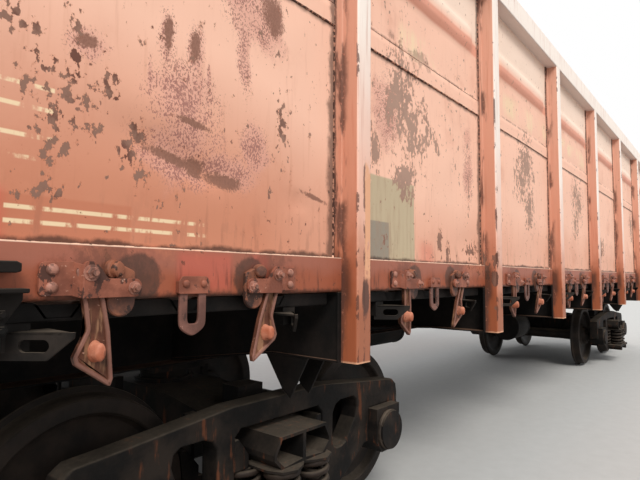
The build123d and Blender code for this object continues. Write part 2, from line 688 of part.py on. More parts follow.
# Corners of the lock lug's slanted plate in plan: offset from the hatch centre, distance from the middle
LUG_NEAR = (452.0, 1568.0)
LUG_FAR = (562.0, 1440.0)
LUG_LOW_Z = CHORD_Z - 153.0
LUG_HIGH_Z = CHORD_Z - 79.0
SLOT_W = 82.0
SLOT_H = 36.0
SLOT_SHIFT = 10.0


def lock_lug(side, x, hand):
    """A slanted plate with a long slot under the hatch edge, under a flat shelf, hung from a bracket."""
    (nr, ny), (fr, fy) = LUG_NEAR, LUG_FAR
    length = math.hypot(fr - nr, fy - ny)
    ux, uy = (fr - nr) / length, (fy - ny) / length
    frame = Plane(
        origin=(x + hand * nr, side * ny, LUG_LOW_Z),
        x_dir=(hand * ux, side * uy, 0),
        z_dir=(hand * uy, -side * ux, 0),
    )
    height = LUG_HIGH_Z - LUG_LOW_Z
    rise = 1 if frame.y_dir.Z > 0 else -1

    def upright(points, lift):
        return outline_face([tuple(frame.from_local_coords(Vector(a, rise * b, lift))) for a, b in points])

    outline = [(0, height), (length, height), (length, 0), (70, 0), (2, height - 16)]
    plate = Solid.extrude(upright(outline, 0), frame.z_dir * LUG_T)
    middle, half_w, half_h = length / 2 + SLOT_SHIFT, SLOT_W / 2, SLOT_H / 2
    corner = half_h * 0.6
    quarter = [(half_w, -half_h + corner), (half_w, half_h - corner), (half_w - corner, half_h)]
    right = [(half_w - corner, -half_h)] + quarter
    slot = [(middle + a, height / 2 + b) for a, b in right + [(-a, -b) for a, b in right]]
    plate = plate - Solid.extrude(upright(slot, -1), frame.z_dir * (LUG_T + 2))
    near, far = (x + hand * nr, side * ny), (x + hand * fr, side * fy)
    shelf = along_z([near, far, (x + hand * nr, side * (fy + 10))], LUG_HIGH_Z - 8, LUG_HIGH_Z)
    bracket_xs = (x + hand * (fr - 70), x + hand * fr)
    bracket_ys = (side * (HATCH_OUT_Y - 60), side * (fy + 12))
    bracket = block(bracket_xs, bracket_ys, (LUG_HIGH_Z - 54, HATCH_TOP_Z - HATCH_T))
    return fused(plate, shelf, bracket)


def hatch(side, x):
    """A pressed drop cover: troughs across it, an edge channel, two hinge arms and two lock lugs."""
    half = HATCH_LENGTH / 2
    base = HATCH_TOP_Z - HATCH_T
    dip = base - HATCH_RIB_DEPTH
    w = HATCH_RIB_W / 2
    path = [(-half, base)]
    for centre in (-half * 0.55, 0, half * 0.55):
        path += [(centre - w, base), (centre - w + 30, dip), (centre + w - 30, dip), (centre + w, base)]
    path.append((half, base))
    sheet = along_y([(x + a, b) for a, b in band(path, HATCH_T)], side * HATCH_IN_Y, side * HATCH_OUT_Y)
    span = (x - half, x + half)
    lip = block(span, (side * (HATCH_OUT_Y - 70), side * HATCH_OUT_Y), (dip - HATCH_T, dip))
    edge = block(span, (side * (HATCH_OUT_Y - HATCH_T), side * HATCH_OUT_Y), (dip, base))
    pieces = [sheet, lip, edge]
    arm = [
        (HINGE_Y - HINGE_R, HINGE_Z - HINGE_R), (HINGE_Y - HINGE_R, HINGE_Z + 8), (HATCH_IN_Y + 4, base),
        (HATCH_IN_Y + 130, base), (HATCH_IN_Y + 130, base - 22), (HINGE_Y + HINGE_R, HINGE_Z - HINGE_R),
    ]
    bore = octagon(side * HINGE_Y, HINGE_Z, (PIN_R + PIN_PLAY) / math.cos(math.pi / 8))
    for hand in (-1, 1):
        arm_x = x + hand * HINGE_OFFSET
        solid_arm = along_x(flipped(arm, side), arm_x - ARM_W / 2, arm_x + ARM_W / 2)
        pieces.append(solid_arm - along_x(bore, arm_x - ARM_W, arm_x + ARM_W))
        pieces.append(lock_lug(side, x, hand))
    return fused(*pieces)


for tag, side in (("r", -1), ("l", 1)):
    for number, x in enumerate(HATCH_XS, start=1):
        keep(f"hatch_{tag}{number}", hatch(side, x))

# Latches on the bottom chords

PLATE_OUT_Y = CHORD_FACE_Y + 51.0
PLATE_T = 12.0
HOOK_T = 26.0
HOOK_FLOOR = 8.0
HOOK_Y = PLATE_OUT_Y - PLATE_T - HOOK_T
KNOB_REACH = 44.0
SECTOR_T = 12.4
SECTOR_R = 66.0
SECTOR_PIN_R = 16.0
# Centres of the lock's round pieces: offset from the hatch centre, height above the chord's bottom
SECTOR_AT = (275.0, 33.0)
SECTOR_PIN_AT = (238.0, 34.0)
KNOB_AT = (330.0, -149.0)
# Outline of the lock plate: offset from the hatch centre, height above the chord's bottom
PLATE_OUTLINE = (
    (510.0, 18.0), (510.0, 95.0), (498.0, 106.0), (368.0, 106.0), (340.0, 68.0),
    (228.0, 66.0), (212.0, 50.0), (212.0, 20.0), (224.0, 8.0), (500.0, 8.0),
)
# Outline of the hook, and of the hollow that its raised edges leave, in the same measure
HOOK_OUTLINE = (
    (410.0, 84.0), (392.0, 102.0), (362.0, 98.0), (330.0, 50.0), (308.0, 4.0), (277.0, -90.0),
    (259.0, -246.0), (378.0, -174.0), (363.0, -90.0), (381.0, 4.0), (404.0, 50.0),
)
HOOK_HOLLOW = (
    (321.0, -2.0), (290.0, -91.0), (275.0, -221.0), (363.0, -168.0), (350.0, -90.0), (367.0, -2.0),
)


def placed(outline, x, hand):
    return [(x + hand * r, CHORD_Z + h) for r, h in outline]


def lock_plate(side, x, hand):
    back = PLATE_OUT_Y - PLATE_T
    plate = along_y(placed(PLATE_OUTLINE, x, hand), side * back, side * PLATE_OUT_Y)
    foot_xs = (x + hand * 462, x + hand * 510)
    foot = block(foot_xs, (side * CHORD_FACE_Y, side * back), (CHORD_Z + 18, CHORD_Z + 95))
    return fused(plate, foot)


def lock_hook(side, x, hand):
    face = HOOK_Y + HOOK_T
    hook = along_y(placed(HOOK_OUTLINE, x, hand), side * HOOK_Y, side * face)
    hook -= along_y(placed(HOOK_HOLLOW, x, hand), side * (face - HOOK_FLOOR), side * (face + 1))
    pivot_xs = (x + hand * 370, x + hand * 400)
    pivot = block(pivot_xs, (side * CHORD_FACE_Y, side * HOOK_Y), (CHORD_Z + 62, CHORD_Z + 90))
    kx, kz = x + hand * KNOB_AT[0], CHORD_Z + KNOB_AT[1]
    knob = along_y([(a, kz + (b - kz) * 1.15) for a, b in octagon(kx, kz, 26)],
                   side * (face - HOOK_FLOOR), side * (face + KNOB_REACH))
    return fused(hook, pivot, knob)


def lock_sector(side, x, hand):
    """The round cam behind the lower arm of the lock plate, on a pin held by the plate."""
    (x0, z0), (px, pz) = placed((SECTOR_AT, SECTOR_PIN_AT), x, hand)
    y0, y1 = CHORD_FACE_Y + SEAT_GAP, CHORD_FACE_Y + SECTOR_T
    disc = along_y(octagon(x0, z0, SECTOR_R), side * y0, side * y1)
    pin_xs, pin_zs = [(at - SECTOR_PIN_R, at + SECTOR_PIN_R) for at in (px, pz)]
    pin = block(pin_xs, (side * y1, side * (PLATE_OUT_Y - PLATE_T - SEAT_GAP)), pin_zs)
    return fused(disc, pin)


LOOP_BAR = 30.0
CLIP_T = 14.0


def tie_shackle(side, x):
    """A long shackle under a clip plate, for lashing a load."""
    y0, y1 = CHORD_FACE_Y, CHORD_FACE_Y + LOOP_BAR
    plate = [(58, 20), (58, 66), (48, 76)]
    clip = along_y([(x + a, CHORD_Z + b) for a, b in both_ways(plate)], side * y0, side * (y0 + CLIP_T))
    outer = [(46, 20), (46, -90), (28, -111)]
    inner = [(16, 20), (16, -76), (8, -83)]
    loop = along_y([(x + a, CHORD_Z + b) for a, b in both_ways(outer)], side * y0, side * y1)
    loop -= along_y([(x + a, CHORD_Z + b) for a, b in both_ways(inner)], side * (y0 - 1), side * (y1 + 1))
    return fused(clip, loop)


for side in SIDES:
    for x in HATCH_XS:
        keep("tie_shackles", tie_shackle(side, x))
        for hand in (-1, 1):
            keep("lock_plates", lock_plate(side, x, hand))
            keep("lock_hooks", lock_hook(side, x, hand))
            keep("lock_sectors", lock_sector(side, x, hand))

# Corner gear: towing brackets, ladders, steps and uncoupling levers

TOW_OUT_Y = CHORD_FACE_Y + 56.0
TOW_SHELF_H = 25.0
TOW_BAR_H = 92.0
TOW_NEAR = 40.0
TOW_FAR = 470.0
TOW_PLATE_T = 12.0


def towing_bracket(side, end):
    """A winching bracket on the chord beyond the last hatch: slanted plate, shelf, throat and bar."""
    x0 = END_HATCH_X + PLATE_OUTLINE[0][0] + TOW_NEAR - 15
    x1 = x0 + TOW_FAR
    plate = [
        (x0, CHORD_Z + TOW_SHELF_H + 12), (x0, CHORD_Z + 5),
        (x0 + 105, CHORD_Z - 150), (x1 - 105, CHORD_Z - 150),
        (x1, CHORD_Z + 5), (x1, CHORD_Z + TOW_SHELF_H + 12),
    ]
    y0 = CHORD_FACE_Y
    pieces = [along_y(flipped(plate, end), side * y0, side * (y0 + TOW_PLATE_T))]
    shelf_zs = (CHORD_Z + TOW_SHELF_H, CHORD_Z + TOW_SHELF_H + 12)
    pieces.append(block((end * x0, end * x1), (side * y0, side * TOW_OUT_Y), shelf_zs))
    throat_zs = (CHORD_Z + TOW_SHELF_H, CHORD_Z + TOW_BAR_H)
    throat_xs = (end * (x0 + 90), end * (x1 - 90))
    pieces.append(block(throat_xs, (side * y0, side * (TOW_OUT_Y - 14)), throat_zs))
    bar = [
        (x0 + 22, CHORD_Z + TOW_BAR_H - 12), (x0 + 34, CHORD_Z + TOW_BAR_H - 16),
        (x1 - 34, CHORD_Z + TOW_BAR_H - 16),
        (x1 - 22, CHORD_Z + TOW_BAR_H - 12), (x1 - 22, CHORD_Z + TOW_BAR_H + 8),
        (x1 - 34, CHORD_Z + TOW_BAR_H + 14),
        (x0 + 34, CHORD_Z + TOW_BAR_H + 14), (x0 + 22, CHORD_Z + TOW_BAR_H + 8),
    ]
    pieces.append(along_y(flipped(bar, end), side * y0, side * TOW_OUT_Y))
    return fused(*pieces)


LADDER_YS = (1000.0, 1340.0)
RUNG = 18.0
RUNG_PITCH = 300.0
LADDER_DEPTH = 45.0
LADDER_STAND = 14.0


def end_ladder(side, end):
    """A ladder on the end wall: two flat stringers on the belts and square rungs."""
    seat_x = END_SHEET_X + END_BELT_DEPTH - END_BELT_T
    back_x = seat_x + LADDER_STAND
    low, high = CHORD_Z + END_BELT_HEIGHTS[0] - 20, CHORD_Z + END_BELT_HEIGHTS[-1] + END_BELT_H + 60
    pieces = []
    for y in LADDER_YS:
        ys = (side * (y - 5), side * (y + 5))
        pieces.append(block((end * back_x, end * (back_x + LADDER_DEPTH)), ys, (low, high)))
        for height in END_BELT_HEIGHTS:
            middle = CHORD_Z + height + END_BELT_H / 2
            pieces.append(block((end * seat_x, end * back_x), ys, (middle - 30, middle + 30)))
    rung_x = back_x + LADDER_DEPTH - RUNG
    for step in range(int((high - low - 80) / RUNG_PITCH) + 1):
        z = low + 60 + step * RUNG_PITCH
        ys = (side * (LADDER_YS[0] - 4), side * (LADDER_YS[1] + 4))
        pieces.append(block((end * rung_x, end * (rung_x + RUNG)), ys, (z, z + RUNG)))
    return fused(*pieces)


STEP_W = 360.0
STEP_LOW_Z = RAIL_Z + 520.0
STEP_DEPTH = 90.0


def corner_step(side, end):
    """A hanging step under the chord at one corner: two flat bars and two treads."""
    x0 = FRAME_HALF - STEP_W - 30
    out_y = CHORD_FACE_Y - 8
    pieces = []
    for x in (x0, x0 + STEP_W - 10):
        xs = (end * x, end * (x + 10))
        pieces.append(block(xs, (side * (out_y - 50), side * out_y), (STEP_LOW_Z, CHORD_Z)))
    for z in (STEP_LOW_Z, (STEP_LOW_Z + CHORD_Z) / 2 - 60):
        ys = (side * (out_y - STEP_DEPTH), side * out_y)
        pieces.append(block((end * x0, end * (x0 + STEP_W)), ys, (z, z + 8)))
    return fused(*pieces)


LEVER_ROD_R = 12.0
LEVER_ROD_X = 45.0
LEVER_ROD_Z = COUPLER_Z + 100.0
LEVER_ROD_YS = (222.0, 1300.0)


def uncoupling_lever(side, end):
    """The cranked bar from the corner to the coupler head, in two brackets on the headstock."""
    x, z = FRAME_HALF + LEVER_ROD_X, LEVER_ROD_Z
    y0, y1 = LEVER_ROD_YS
    bar = along_y(octagon(end * x, z, LEVER_ROD_R), side * y0, side * y1)
    grip = block((end * (x - 10), end * (x + 10)), (side * (y1 - 20), side * y1), (z - 260, z))
    arm = block((end * x, end * (x + 95)), (side * y0, side * (y0 + 16)), (z - 10, z + 10))
    pieces = [bar, grip, arm]
    for y in (LADDER_YS[0], 430.0):
        bracket_ys = (side * (y - 6), side * (y + 6))
        pieces.append(block((end * FRAME_HALF, end * (x + 4)), bracket_ys, (z - 26, z + 26)))
    return fused(*pieces)


for end in ENDS:
    for side in SIDES:
        keep("towing_brackets", towing_bracket(side, end))
    keep("end_ladders", end_ladder(-end, end))
    keep("corner_steps", corner_step(-end, end))
    keep("uncoupling_levers", uncoupling_lever(-end, end))

# Couplers


def coupler(end):
    """A claw coupler: shank, flared head with a large and a small tooth, and the lock between them."""
    neck = COUPLER_REACH - HEAD_LENGTH
    head_plan = [
        (neck, SHANK_HALF_W), (neck + 120, 150), (neck + 250, 215),
        (COUPLER_REACH - 60, 250), (COUPLER_REACH, 170),
        (COUPLER_REACH - 90, 80), (COUPLER_REACH - 190, 60),
        (COUPLER_REACH - 170, -60), (COUPLER_REACH - 30, -110),
        (COUPLER_REACH, -210), (neck + 220, -250), (neck + 110, -150), (neck, -SHANK_HALF_W),
    ]
    tail = FRAME_HALF - SHANK_TAIL
    root = neck + 10
    shank_plan = [(a, b * SHANK_HALF_W) for a, b in ((tail, 1), (root, 1), (root, -1), (tail, -1))]

    def slab(plan, half_h):
        return along_z([(end * a, end * b) for a, b in plan], COUPLER_Z - half_h, COUPLER_Z + half_h)

    head = slab(head_plan, HEAD_HALF_H)
    for up in (-1, 1):
        tip_x, edge_z = COUPLER_REACH + 1, COUPLER_Z + up * (HEAD_HALF_H + 1)
        bevel = [(end * (tip_x - 150), edge_z), (end * tip_x, edge_z), (end * tip_x, edge_z - up * 45)]
        head -= along_y(bevel, -260, 260)
    lock = [(COUPLER_REACH - a, b) for a, b in ((200, 30), (120, 40), (100, -30), (200, -50))]
    return fused(slab(shank_plan, SHANK_HALF_H), head, slab(lock, HEAD_HALF_H * 0.7))


for end in ENDS:
    keep("couplers", coupler(end))
    xs = (end * FRAME_HALF, end * (FRAME_HALF + STRIKER_DEPTH))
    striker = block(xs, (-190, 190), (COUPLER_Z - 130, COUPLER_Z + 230))
    gap_zs = (COUPLER_Z - SHANK_HALF_H - SEAT_GAP, COUPLER_Z + SHANK_HALF_H + 10)
    striker -= block((xs[0] - end, xs[1] + end), (-SHANK_HALF_W - 55, SHANK_HALF_W + 55), gap_zs)
    keep("striker_castings", striker)

# Air brake

CYLINDER_X = 700.0
CYLINDER_Y = -440.0
CYLINDER_R = 178.0
CYLINDER_L = 480.0
RESERVOIR_X = -1500.0
RESERVOIR_Y = 470.0
RESERVOIR_R = 150.0
RESERVOIR_L = 820.0
TANK_Z = SILL_BOTTOM_Z - 132.0
PIPE_R = 22.0
PIPE_Y = 240.0
PIPE_Z = SILL_BOTTOM_Z - 40.0
PIPE_HALF = FRAME_HALF + 70.0
HANGER_PITCH = 1450.0


def hung(tank, y, radius, x):
    """A tank with a hanger plate up to the sill's lower flange."""
    side = math.copysign(1, y)
    low = TANK_Z + radius * 0.4
    plate = [
        (SILL_W / 2 + SILL_FLANGE - 24, SILL_BOTTOM_Z), (SILL_W / 2 + SILL_FLANGE, SILL_BOTTOM_Z),
        (abs(y) + 50, low), (abs(y) - 70, low),
    ]
    return fused(tank, along_x(flipped(plate, side), x - 6, x + 6))


def tank(x, length, y, radius):
    body = rod((x, y, TANK_Z), (x + length, y, TANK_Z), radius)
    return hung(body, y, radius, x + length / 2)


def brake_cylinder():
    """The brake cylinder with its piston rod and the level lever that the rod pushes."""
    body = tank(CYLINDER_X, CYLINDER_L, CYLINDER_Y, CYLINDER_R)
    rod_end = CYLINDER_X + CYLINDER_L + 260
    piston_xs = (CYLINDER_X + CYLINDER_L, rod_end)
    piston = block(piston_xs, (CYLINDER_Y - 22, CYLINDER_Y + 22), (TANK_Z - 22, TANK_Z + 22))
    lever = block((rod_end - 40, rod_end + 40), (CYLINDER_Y - 50, 120), (TANK_Z - 10, TANK_Z + 10))
    return fused(body, piston, lever)


def brake_pipe():
    """The air pipe along the sill, on hangers under the sill's flange, with a cock at each end."""
    pipe = along_x(octagon(PIPE_Y, PIPE_Z, PIPE_R), -PIPE_HALF, PIPE_HALF)
    pieces = [pipe]
    count = int((FRAME_HALF - 300) / HANGER_PITCH)
    for step in range(-count, count + 1):
        x = step * HANGER_PITCH
        ys = (PIPE_Y - 15, PIPE_Y + 15)
        pieces.append(block((x - 15, x + 15), ys, (PIPE_Z + PIPE_R - 6, SILL_BOTTOM_Z)))
    for end in ENDS:
        xs = (end * (PIPE_HALF - 5), end * (PIPE_HALF + 70))
        pieces.append(block(xs, (PIPE_Y - 32, PIPE_Y + 32), (PIPE_Z - 34, PIPE_Z + 34)))
    return fused(*pieces)


keep("brake_cylinder", brake_cylinder())
keep("air_reservoir", tank(RESERVOIR_X, RESERVOIR_L, RESERVOIR_Y, RESERVOIR_R))
keep("brake_pipe", brake_pipe())

os.makedirs("parts", exist_ok=True)
for name, solids in NODES.items():
    export_step(Compound(children=solids) if len(solids) > 1 else solids[0], f"parts/{name}.step")
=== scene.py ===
# %% [markdown]
# # An old open goods wagon
# This lesson dresses a four-axle open wagon for broad-gauge track. The solid model gives every piece
# its size and place, and this script gives it a finish: faded salmon paint on pressed steel sheets,
# rust that has broken through it, brown cast bogies and worn latch gear. Everything is in metres,
# with X along the wagon, Y across it and Z up, just as in the solid model.

# %% Load the frame
import math
import bmesh
import bpy
import numpy as np
from mathutils import Matrix, Vector, noise


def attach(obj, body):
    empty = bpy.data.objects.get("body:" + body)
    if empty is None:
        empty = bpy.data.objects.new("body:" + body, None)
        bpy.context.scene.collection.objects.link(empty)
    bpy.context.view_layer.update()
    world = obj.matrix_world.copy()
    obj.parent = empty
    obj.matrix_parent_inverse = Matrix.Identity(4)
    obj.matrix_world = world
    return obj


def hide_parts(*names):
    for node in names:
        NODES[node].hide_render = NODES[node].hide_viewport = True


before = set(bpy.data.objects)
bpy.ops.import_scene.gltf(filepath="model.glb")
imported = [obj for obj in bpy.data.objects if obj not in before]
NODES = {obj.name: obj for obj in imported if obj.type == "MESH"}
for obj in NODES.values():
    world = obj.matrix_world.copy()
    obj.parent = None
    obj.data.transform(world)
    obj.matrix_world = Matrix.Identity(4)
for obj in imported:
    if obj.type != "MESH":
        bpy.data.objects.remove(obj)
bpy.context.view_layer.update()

# %% [markdown]
# ## The camera
# The photograph was taken standing close to the wagon's side near one end, looking along it and a
# little up. A camera needs a place, a direction and a lens. The direction is built here from a yaw,
# a pitch and a small roll, so that each can be changed by itself.

# %% Camera
EYE = Vector((-6.269, -2.932, 1.492))
YAW, PITCH, ROLL = math.radians(39.70), math.radians(4.04), math.radians(-0.466)
SENSOR_MM, FOCAL_SHARE = 36.0, 0.7891

look = Vector((math.cos(PITCH) * math.cos(YAW), math.cos(PITCH) * math.sin(YAW), math.sin(PITCH)))
level_right = Vector((math.sin(YAW), -math.cos(YAW), 0.0))
level_up = level_right.cross(look)
right = level_right * math.cos(ROLL) - level_up * math.sin(ROLL)
up = level_right * math.sin(ROLL) + level_up * math.cos(ROLL)

camera_data = bpy.data.cameras.new("photo_camera")
camera_data.sensor_width = SENSOR_MM
camera_data.lens = SENSOR_MM * FOCAL_SHARE
camera_data.clip_start, camera_data.clip_end = 0.05, 200.0
camera = bpy.data.objects.new("photo_camera", camera_data)
camera.matrix_world = Matrix.Translation(EYE) @ Matrix((right, up, -look)).transposed().to_4x4()
bpy.context.scene.collection.objects.link(camera)
bpy.context.scene.camera = camera
print("camera at", tuple(EYE), "lens", round(camera_data.lens, 2), "mm")

# %% [markdown]
# ## Floor and light
# The wagon stands on a plain pale floor under an even bright sky, like an overcast noon. A soft sun
# from high on the near side gives the presses and posts their shape. The camera sees the floor and
# the sky as nearly white, but the light that they throw on the wagon is kept lower, so that the
# underframe stays as dark as it is in daylight. Shaders are graphs of nodes. Three small classes write
# them as sums: a value, the graph it belongs to, and a graph that is a material.

# %% Floor, sky and lamps
scene = bpy.context.scene
scene.view_settings.view_transform = "Standard"

FLOOR_HALF = 70.0
floor_mesh = bpy.data.meshes.new("floor")
corners = [(FLOOR_HALF * a, FLOOR_HALF * b, 0) for a, b in ((-1, -1), (1, -1), (1, 1), (-1, 1))]
floor_mesh.from_pydata(corners, [], [(0, 1, 2, 3)])
floor = bpy.data.objects.new("floor", floor_mesh)
scene.collection.objects.link(floor)


class Val:
    """A value on its way through a shader. Sums written with it add the Math nodes."""

    def __init__(self, graph, socket):
        self.graph = graph
        self.socket = socket

    def maths(self, operation, *values, clamp=False):
        inputs = dict(enumerate(values))
        return self.graph.node("ShaderNodeMath", inputs, operation=operation, use_clamp=clamp)

    def __add__(self, other):
        return self.maths("ADD", self, other)

    __radd__ = __add__

    def __sub__(self, other):
        return self.maths("SUBTRACT", self, other)

    def __rsub__(self, other):
        return self.maths("SUBTRACT", other, self)

    def __mul__(self, other):
        return self.maths("MULTIPLY", self, other)

    __rmul__ = __mul__

    def __abs__(self):
        return self.maths("ABSOLUTE", self)

    def lowest(self, other):
        return self.maths("MINIMUM", self, other)

    def highest(self, other):
        return self.maths("MAXIMUM", self, other)

    def clamped(self):
        return self.maths("ADD", self, 0.0, clamp=True)

    def swing(self, size):
        """How far a noise is from its middle, times size."""
        return (self - 0.5) * size

    def ramp(self, low, high):
        """0 up to low, 1 from high on, and smooth between. It falls where high is below low."""
        ends = (low, high, 0.0, 1.0) if low < high else (high, low, 1.0, 0.0)
        inputs = dict(enumerate((self, *ends)))
        return self.graph.node("ShaderNodeMapRange", inputs, interpolation_type="SMOOTHSTEP")


class Graph:
    """A node tree under construction."""

    def __init__(self, tree):
        self.nodes, self.links = tree.nodes, tree.links

    def put(self, node, inputs):
        """Gives the sockets of a node their values or links."""
        for key, value in inputs.items():
            socket = node.inputs[key]
            if isinstance(value, Val):
                self.links.new(value.socket, socket)
            elif socket.type == "RGBA" and len(value) == 3:
                socket.default_value = (*value, 1.0)
            else:
                socket.default_value = value

    def node(self, kind, inputs=None, out=0, **settings):
        """Adds a node: its settings first, then its sockets."""
        made = self.nodes.new(kind)
        for key, value in settings.items():
            setattr(made, key, value)
        self.put(made, inputs or {})
        return Val(self, made.outputs[out])

    def parts(self, vector):
        """The three parts of a vector."""
        split = self.node("ShaderNodeSeparateXYZ", {0: vector}).socket.node
        return [Val(self, socket) for socket in split.outputs]

    def for_rays(self, *kinds):
        """1 for rays of these kinds, which look at a thing, and 0 for the light that it throws."""
        rays = [self.node("ShaderNodeLightPath", out=f"Is {kind} Ray") for kind in kinds]
        return sum(rays[1:], rays[0]).clamped()


class Finish(Graph):
    """A material under construction: its Principled shader, and the tone of the coats laid on so far."""

    def __init__(self, name, **constants):
        self.material = bpy.data.materials.new(name)
        self.material.use_nodes = True
        super().__init__(self.material.node_tree)
        self.shader = self.nodes["Principled BSDF"]
        self.put(self.shader, {socket.replace("_", " "): value for socket, value in constants.items()})
        self.place = self.node("ShaderNodeTexCoord", out="Object")
        self.x, self.y, self.z = self.parts(self.place)
        self.tone = None

    def facing(self):
        """The three parts of the direction in which the surface looks."""
        return self.parts(self.node("ShaderNodeNewGeometry", out="Normal"))

    def near_side(self):
        """1 on the side that the photograph shows, and 0 elsewhere."""
        return self.y.ramp(-1.2, -1.3)

    def grain(self, scale, detail=4.0, roughness=0.55, stretch=(1, 1, 1), shift=(0, 0, 0)):
        """Noise from 0 to 1 round 0.5, with this many cells in a metre along each axis."""
        size = tuple(scale * s for s in stretch)
        where = self.node("ShaderNodeMapping", {"Vector": self.place, "Scale": size, "Location": shift})
        inputs = {"Vector": where, "Scale": 1.0, "Detail": detail, "Roughness": roughness}
        return self.node("ShaderNodeTexNoise", inputs)

    def runs(self, across, down, detail=3.0, shift=(0, 0, 0)):
        """Noise drawn out downwards, with this many cells in a metre across and down."""
        return self.grain(1.0, detail, stretch=(across, across, down), shift=shift)

    def mix(self, share, first, second):
        """A colour between two colours."""
        return self.node("ShaderNodeMix", {0: share, 6: first, 7: second}, out=2, data_type="RGBA")

    def lay(self, share, coat):
        """Lays a coat over the tone, where share is above 0."""
        self.tone = self.mix(share, self.tone, coat)

    def done(self, roughness, height=None, depth=0.004, strength=0.5):
        """Feeds the shader and hands the material over."""
        sockets = {"Base Color": self.tone, "Roughness": roughness}
        if height:
            relief = {"Height": height, "Distance": depth, "Strength": strength}
            sockets["Normal"] = self.node("ShaderNodeBump", relief)
        self.put(self.shader, sockets)
        return self.material


def paint(r, g, b):
    """A colour as a paint chart gives it, from 0 to 255, turned to the linear values that Blender uses."""
    def linear(value):
        share = value / 255
        return share / 12.92 if share <= 0.04045 else ((share + 0.055) / 1.055) ** 2.4
    return linear(r), linear(g), linear(b)


ground = Finish("pale_floor", Roughness=0.95)
looked_at = ground.for_rays("Camera", "Glossy")
fine = ground.grain(9.0, detail=6.0)
pale = ground.mix(fine, (0.50, 0.49, 0.47), (0.58, 0.57, 0.55))
ground.put(ground.shader, {"Base Color": ground.mix(looked_at, (0.22, 0.205, 0.19), pale)})
floor.data.materials.append(ground.material)

SKY = 0.9
world = bpy.data.worlds.new("sky")
world.use_nodes = True
scene.world = world
sky = Graph(world.node_tree)
light_sky = sky.nodes["Background"]
sky.put(light_sky, {"Color": (0.95, 0.97, 1.0), "Strength": SKY})
white_sky = sky.node("ShaderNodeBackground", {"Color": (1.0, 1.0, 1.0), "Strength": 1.0})
looked_at = sky.for_rays("Camera", "Glossy", "Transmission")
choice = sky.node("ShaderNodeMixShader", {0: looked_at, 1: Val(sky, light_sky.outputs[0]), 2: white_sky})
sky.put(sky.nodes["World Output"], {"Surface": choice})

SUN_STRENGTH = 2.2
sun_data = bpy.data.lights.new("soft_sun", "SUN")
sun_data.energy = SUN_STRENGTH
sun_data.angle = math.radians(25)
sun_data.color = (1.0, 0.98, 0.94)
sun = bpy.data.objects.new("soft_sun", sun_data)
toward_wagon = Vector((0.50, 0.55, -0.67))
sun.rotation_mode = "QUATERNION"
sun.rotation_quaternion = toward_wagon.to_track_quat("-Z", "Y")
scene.collection.objects.link(sun)
print("floor", FLOOR_HALF * 2, "m across, sky", SKY, "sun", SUN_STRENGTH)

# %% [markdown]
# ## Where things are on the wagon
# Paint does not wear evenly. It flakes in patches, a grab scours it, dirt gathers above the chord, along
# the welds and round the latches. So the finishes need to know where they are. Heights and distances
# come from the wagon's own coordinates, and a distance from the nearest post or hatch comes from
# wrapping X at their pitch, so one rule serves all of them. A worn place of its own is an oval, given
# by its middle, half its length, half its height and a tilt: 1 in its middle, 0 at its rim and below
# 0 outside. Noise that is added before a threshold turns that rim ragged.

# %% Heights, pitches and places
RAIL_Z = 0.028
CHORD_Z, CHORD_TOP_Z = RAIL_Z + 1.389, RAIL_Z + 1.548
POST_FOOT_Z, SEAM_Z, TOP_Z = RAIL_Z + 1.065, RAIL_Z + 2.655, RAIL_Z + 3.780
TOP_RAIL_Z = TOP_Z - 0.183
LAP_TOP_Z = SEAM_Z + 0.106
SWAGE_Z = (LAP_TOP_Z + TOP_RAIL_Z) / 2
ROOT_Y, CHORD_Y, FACE_Y = 1.489, 1.499, 1.589
PITCH_X = 1.730


def place_reach(f, places):
    """The highest of some ovals on the near side."""
    whole = None
    for *sizes, tilt in places:
        x, z, half_long, half_high = (size / 1000 for size in sizes)
        oval = {"Location": (x, -ROOT_Y, z), "Rotation": (0, -tilt, 0), "Scale": (half_long, 1.0, half_high)}
        where = f.node("ShaderNodeMapping", {"Vector": f.place, **oval}, vector_type="TEXTURE")
        reach = 1.0 - f.node("ShaderNodeVectorMath", {0: where}, out="Value", operation="LENGTH")
        whole = whole.highest(reach) if whole else reach
    return whole


def bar(f, x0, x1, z0, z1, soft=0.004):
    """1 inside an upright rectangle in X and Z, and 0 outside."""
    def within(value, low, high):
        half = (high - low) / 2
        return abs(value - (low + high) / 2).ramp(half + soft, half - soft)
    return within(f.x, x0, x1) * within(f.z, z0, z1)


def bars(f, rows, soft):
    """1 inside any of some upright rectangles."""
    made = [bar(f, *row, soft) for row in rows]
    return sum(made[1:], made[0]).clamped()


def from_nearest(f, pitch, start):
    """The distance along the wagon from the nearest of a row of things."""
    return abs(f.node("ShaderNodeMath", {0: f.x - start, 1: pitch / 2, 2: -pitch / 2}, operation="WRAP"))


